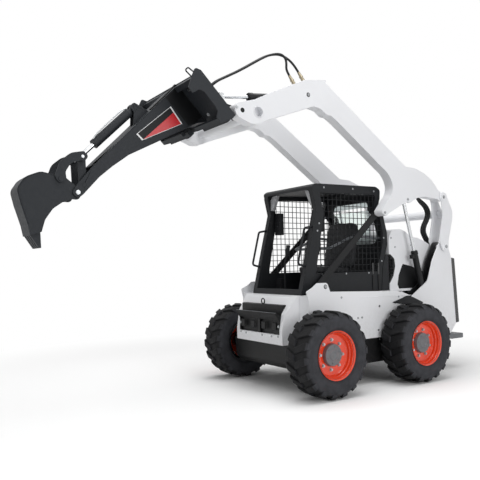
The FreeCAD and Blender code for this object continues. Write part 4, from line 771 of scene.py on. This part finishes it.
for hand in (1, -1):
    cab_seams.append([machine(hand * 410, y, z) for y, z in ((-24, 946), (192, 1776), (150, 1960))])
    cab_seams.append([machine(hand * 352, y, z) for y, z in ((16, 1130), (190, 1775))])
weld_beads("cab_welds", "chassis", cab_seams, cab_black, "black_paint", 0.003)


# Rear window: one flat pane of clear float glass in a rubber strip, slightly green at its edge.
# The pane lets the light through and shows the studio on its face.
glass, tree, shader, place = finish_of("float_glass", 0.03, ior=1.52)
shader.inputs["Transmission Weight"].default_value = 1.0
film = add(tree, "ShaderNodeTexNoise", {"Vector": place, "Scale": 6.0, "Detail": 5.0})
tone = add(tree, "ShaderNodeMix", {"Factor": film, "A": colour("DDEAE6"), "B": colour("F2F8F6")},
           data_type="RGBA")
feed(tree, shader, {"Base Color": tone})
dress("rear_glass", glass, 0)


# Seat and controls: black grained vinyl seat with sewn channels, a bent lap bar, two levers and the
# instrument pods beside the windscreen opening. Each pod carries two rows of round switches.
dress("lap_bar", grey, 0)
dress("cab_controls", moulded, 0.002)

# PVC seat vinyl, calendered with a leather grain of about 2 mm: soft sheen on the folds
vinyl = textured("grained_pvc_vinyl", "1B1C1E", "2A2B2E", (8.0, 4.0), 0.5, ior=1.53, relief=(
    "ShaderNodeTexVoronoi", {"Scale": 420.0}, {"feature": "DISTANCE_TO_EDGE"}, "Distance", 0.3, 0.0006))


def cushion(name, centre, along, out, half, channels):
    """A crowned pad: a rounded block with its sides drawn in and channels sewn across its front."""
    shape = bmesh.new()
    bmesh.ops.create_cube(shape, size=2.0)
    bmesh.ops.subdivide_edges(shape, edges=shape.edges[:], cuts=23, use_grid_fill=True)
    side = along.cross(out)
    for v in shape.verts:
        u, w, n = v.co
        reach = (abs(u) ** 6 + abs(w) ** 6 + abs(n) ** 6) ** (1 / 6)
        u, w, n = u / reach, w / reach, n / reach
        crown = (1 - u * u) * (1 - w * w)
        deep = n * (half[2] * (0.80 + 0.20 * crown))
        if n > 0.3:
            for line in channels:
                deep -= 0.010 * math.exp(-((w - line) / 0.045) ** 2) * (1 - abs(u) ** 8)
        pull = 1 - 0.03 * (1 - abs(u * w))
        v.co = centre + side * (u * half[0] * pull) + along * (w * half[1] * pull) + out * deep
    bmesh.ops.recalc_face_normals(shape, faces=shape.faces)
    mesh = bpy.data.meshes.new(name)
    shape.to_mesh(mesh)
    shape.free()
    mesh.shade_smooth()
    pad = piece(name, mesh, "chassis", vinyl)
    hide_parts("seat_cushion")


tip = math.atan2(-20, 390)
cushion("seat_bottom_pad", machine(0, 640, 1163), Vector((0, -math.cos(tip), -math.sin(tip))),
        Vector((0, math.sin(tip), math.cos(tip))), (0.230, 0.208, 0.043), (-0.45, 0.0, 0.45))
rake = math.atan2(540, 92)
cushion("seat_back_pad", machine(0, 897, 1422), Vector((0, math.cos(rake), math.sin(rake))),
        Vector((0, -math.sin(rake), math.cos(rake))), (0.228, 0.262, 0.046), (-0.55, -0.2, 0.15, 0.5))
bolts("pod_switches", "chassis", [(machine(hand * (318 + 20 * i), 262, 1620 + 34 * j), front) for hand in (1, -1)
                                  for i in range(2) for j in range(5)], 0.007, 0.006, moulded, "black_plastic")


# Engine bay: a white ribbed cover with a black grid beside the cab and a black side panel below the
# cylinder. The block inside is one plain cast piece.
dress("engine_block", grey, 0.006)
dress("engine_hood", white, 0.004)
dress("engine_side_screens", black, 0.0008)
both_sides("cab_rear_seal", [(1089, 934), (1114, 1180), (1153, 1300), (1160, 1320), (1203, 1320), (1203, 934)],
           402, 414, "chassis", moulded)
bolts("hood_bolts", "chassis", [(machine(hand * 424.5, y, z), left * hand) for hand in (1, -1) for y, z in
                                ((1300, 1400), (1560, 1420), (1900, 1300), (1960, 1000), (1240, 1500))],
      0.008, 0.006, zinc, "white_paint")


# Tailgate: a louvred steel door with welded hinge eyes, two red lamps, a pull handle and an orange-red
# edge stripe down each side.
dress("tailgate", white, 0.003)

# acrylic lamp lens, injection moulded with fine upright flutes 4 mm apart: clear deep red
flutes = ("ShaderNodeTexWave", {"Scale": 80.0}, {"bands_direction": "X"}, "Fac", 0.4, 0.001)
lens_red = textured("red_acrylic_lens", "A30F0C", "D4201A", (0, 0), 0.12, ior=1.49, relief=flutes)
dress("tail_lamps", lens_red, 0.001)
slab("gate_stripe", [(2084, 1270), (2133, 526), (2188, 533), (2139, 1262)], 555, 557.5, "tailgate",
     orange)
slab("gate_handle", [(2192, 800), (2192, 812), (2170, 812), (2170, 800)], 380, 500, "tailgate", black)


# Rear links: two white plates a side on big pins, tied by a tube. Each pin has a cap held by one bolt.
# The caps are turned steel, painted with the link.
dress("rear_links", white, 0.003)
pin_bolts = []
for hand in (1, -1):
    for y, z in ((1955, 1400), (1940, 1962)):
        pin_bolts.append((machine(hand * 594.4, y, z), left * hand))
bolts("rear_pin_bolts", "rear_links", pin_bolts, 0.015, 0.009, zinc, "white_paint")


# Control links: flat black bars beside the cab, with a pin in the chassis ear and one in the arm.
dress("control_links", black, 0.002)
bolts("ear_pin_bolts", "control_links", [(machine(hand * 560.4, 154, 1012), left * hand) for hand in (1, -1)],
      0.012, 0.010, zinc, "black_paint")


# Lift arms: two long boxes welded from plate, joined in front by a tube whose ends are open. They carry
# the hose couplers, the pivot of the coupler and the pins of the cylinders.
dress("lift_arms", white, 0.004)
arm_top = [(-740, 2702), (-625, 2733), (-503, 2797), (-46, 3001), (214, 3018)]
arm_low = [(-610, 2514), (-499, 2562), (-56, 2722), (60, 2763)]
arm_seams = []
for hand in (1, -1):
    for x in (466, 566):
        arm_seams.append([machine(hand * x, y, z + 1) for y, z in arm_top])
    arm_seams.append([machine(hand * x, y, z) for x, y, z in
                      [(571, -604 + 55 * math.cos(a), 2625 + 55 * math.sin(a))
                       for a in (math.radians(15 * i) for i in range(25))]])
weld_beads("arm_welds", "lift_arms", arm_seams, white, "white_paint", 0.004)
bolts("arm_pin_bolts", "lift_arms", [(machine(hand * x, y, z), left * hand) for hand in (1, -1) for x, y, z in
                                     ((572, -10, 2865), (572, -838, 2637), (576, 995, 1757), (576, 1357, 1912))],
      0.011, 0.008, zinc, "white_paint")

# plated brass couplers: warm and bright with duller patches
brass = textured("plated_brass", "6F675A", "B3A88F", (70.0, 4.0), 0.32, metallic=1.0)
dress("hose_couplers", brass, 0)


def sleeve(name, profile, at, way, body, finish, steps=24):
    """A turned fitting along a direction, from (distance, radius) points."""
    mesh = turned_ring([(a / 1000, r / 1000) for a, r in profile], steps)
    mesh.transform(Matrix.Translation(at) @ way.to_track_quat("X", "Z").to_matrix().to_4x4())
    return piece(name, mesh, body, finish)


quick_fitting = [(-74, 0), (-74, 14), (-70, 17.5), (-48, 17.5), (-46, 15), (-40, 15), (-38, 19), (-20, 19), (-17, 15),
                 (-4, 15), (-2, 13.5), (22, 13.5), (25, 11.6), (26, 0)]
for name, route in (("feed", feed_route), ("return", return_route)):
    start = machine(*route[0])
    away = (machine(*route[1]) - start).normalized()
    sleeve(name + "_coupler", quick_fitting, start, away, "lift_arms", brass)
    end = machine(*route[-1])
    back_way = (machine(*route[-2]) - end).normalized()
    sleeve(name + "_ferrule", [(-2, 0), (-2, 15), (8, 15), (9, 13.5), (34, 13.5), (36, 11.5), (36.5, 0)], end,
           back_way, "attachment", zinc)
for number, hose_x in enumerate((412, 386, 360)):
    sleeve("lift_hose_union_%d" % number, [(-24, 0), (-24, 12.9), (24, 12.9), (24, 0)], machine(hose_x, 1861, 1681),
           Vector((0, 0.622, 0.783)), "rear_links", black)


# Cylinders: honed steel barrels painted black with cast glands, and hard chromed rods that reach the pins.
# Lift cylinders stand in the towers, tilt cylinders lie along the arms.
# hard chrome on a ground rod: a clear reflection with faint rings from grinding
chrome, tree, shader, place = finish_of("hard_chrome", 0.12, metallic=1.0)
shader.inputs["Base Color"].default_value = colour("D2D4D6")
rings = add(tree, "ShaderNodeTexNoise", {"Vector": place, "Scale": 240.0, "Detail": 2.0})
dull = add(tree, "ShaderNodeMapRange", {"Value": rings, "To Min": 0.08, "To Max": 0.2})
feed(tree, shader, {"Roughness": dull})
for node in ("lift_barrels", "tilt_barrels"):
    dress(node, black, 0.0015)
for node in ("lift_rods", "tilt_rods"):
    dress(node, chrome, 0.001)
for kind, base, tip_pin, gland, x, barrel in (("lift", (1711, 600), (1357, 1912), 783, 508, 34),
                                              ("tilt", (-10, 2865), (-899, 2764), 600, 412, 38)):
    way = Vector((0, tip_pin[0] - base[0], tip_pin[1] - base[1])).normalized()
    for hand in (1, -1):
        sign = "left" if hand > 0 else "right"
        at = machine(hand * x, *base) + way * gland / 1000
        sleeve("%s_gland_%s" % (kind, sign), [(-46, barrel + 0.3), (-44, barrel + 4), (-8, barrel + 4),
                                              (-5, barrel + 1.5), (0, barrel - 1), (1.5, 22), (1.5, 19.2)], at, way,
               kind + "_barrels", black, 40)


# Quick coupler and mounting frame: thick plate burnt to shape and welded, in textured charcoal powder
# coat. The wings have a C-shaped opening, and a lifting ring stands on the left one.
charcoal = painted_steel("charcoal_powder_coat", "23262A", "44474A", 0.54, dust_below=4.0, dust_share=0.14)
coupler_black = painted_steel("coupler_black", "0C0D0F", "2A2B2D", 0.5, dust_below=4.0, dust_share=0.2)
dress("quick_coupler", coupler_black, 0.003)
dress("mounting_frame", charcoal, 0.003)


def backhoe(x, back_y, up_z):
    """A point in the backhoe's own upright frame: back_y grows towards the loader."""
    return machine(x, -835 + (back_y - up_z) * 0.70710678, 2561 + (back_y + up_z) * 0.70710678)


frame_seams = []
for hand in (1, -1):
    frame_seams.append([backhoe(hand * 547, -2, w) for w in (12, 498)])
    frame_seams.append([backhoe(hand * 134, -14, w) for w in (62, 488)])
weld_beads("frame_welds", "attachment", frame_seams, charcoal, "charcoal_paint", 0.0045)
bolts("frame_bolts", "attachment", [(backhoe(x, -12, w), (backhoe(0, -1, 0) - backhoe(0, 0, 0)).normalized())
                                    for x in (-430, -230, 230, 430) for w in (120, 400)],
      0.013, 0.010, zinc, "charcoal_paint")


# Boom: a tapered box that forks at the bucket, with a bare trapezium plate bordered in white on each
# side, upper part black and lower part red, and a welded seam below its top edge.
dress("boom", charcoal, 0.003)
white_edge = textured("white_vinyl_film", "D9DADB", "ECECEC", (50.0, 2.0), 0.3)
red_film = textured("red_vinyl_film", "B4141E", "C81C26", (50.0, 2.0), 0.3)
plate_corners = [(-212, 396), (-234, 211), (-654, 358), (-657, 432)]
plate_middle = [sum(c[i] for c in plate_corners) / 4 for i in (0, 1)]


def shrunk(corners, by):
    """Corners drawn towards the middle by a few millimetres."""
    out = []
    for c in corners:
        reach = math.hypot(c[0] - plate_middle[0], c[1] - plate_middle[1])
        out.append(tuple(plate_middle[i] + (c[i] - plate_middle[i]) * (1 - by / reach) for i in (0, 1)))
    return out


inner = shrunk(plate_corners, 15)
split_low = tuple(inner[1][i] * 0.30 + inner[0][i] * 0.70 for i in (0, 1))
red_part = [split_low, inner[1], inner[2]]
# the boom root sheet is painted shade: a thin black plate on each side of the boom near the frame, where its side falls
# dark
for label, outline, x0, x1, slot, finish in (
        ("plate_border", plate_corners, 132, 132.8, "white_paint", white_edge),
        ("plate_upper", inner, 132.8, 133.3, "black_paint", coupler_black),
        ("plate_lower", red_part, 133.3, 133.8, "wheel_orange", red_film),
        ("boom_root", [(-17, 484), (-196, 484), (-196, 160), (-108, 130), (-17, 130)], 131.9, 132.6, "black_paint",
         coupler_black)):
    both_sides(label, outline, x0, x1, "attachment", finish, backhoe)
boom_seams = []
for hand in (1, -1):
    boom_seams.append([backhoe(hand * 131, -u, w) for u, w in ((16, 489), (600, 489), (1150, 489))])
    boom_seams.append([backhoe(hand * 131, -u, w) for u, w in ((110, 122), (300, 190), (529, 252), (842, 352),
                                                               (1014, 378))])
weld_beads("boom_welds", "attachment", boom_seams, charcoal, "charcoal_paint", 0.0035)

# hard pipes along the boom and the bucket cylinder
for number, x in enumerate((96, 112)):
    run = [backhoe(x, -u, w) for u, w in ((20, 505), (120, 500), (250, 500), (380, 500))]
    piece("boom_pipe_%d" % number, tube(run, 0.007, 3, "NURBS"), "attachment", black)
run = [backhoe(30, -u, w) for u, w in ((520, 640), (560, 654), (620, 655), (820, 655), (900, 652), (950, 640))]
piece("barrel_pipe", tube(run, 0.006, 3, "NURBS"), "bucket_barrel", zinc)


# Bucket, rocker, links and cylinder: thick plate in the same charcoal coat. Weld beads follow the bucket's back, and
# each pin has a bolt head.
dress("bucket", charcoal, 0.003)
dress("rocker", charcoal, 0.002)
dress("bucket_links", charcoal, 0.002)
dress("bucket_barrel", charcoal, 0.0015)
dress("bucket_rod", chrome, 0.001)
bucket_seams = []
for hand in (1, -1):
    bucket_seams.append([backhoe(hand * 116, -u, w) for u, w in
                         ((1444, 650), (1498, 728), (1560, 762), (1625, 780), (1690, 772), (1734, 758), (1790, 664),
                          (1868, 510))])
weld_beads("bucket_welds", "bucket", bucket_seams, charcoal, "charcoal_paint", 0.004)
bolts("bucket_pin_bolts", "bucket", [(backhoe(hand * 132.5, -1403, 421), left * hand) for hand in (1, -1)],
      0.014, 0.008, zinc, "charcoal_paint")
bolts("link_pin_bolts", "bucket_links", [(backhoe(hand * 131.6, -1161, 604), left * hand) for hand in (1, -1)],
      0.010, 0.007, zinc, "charcoal_paint")
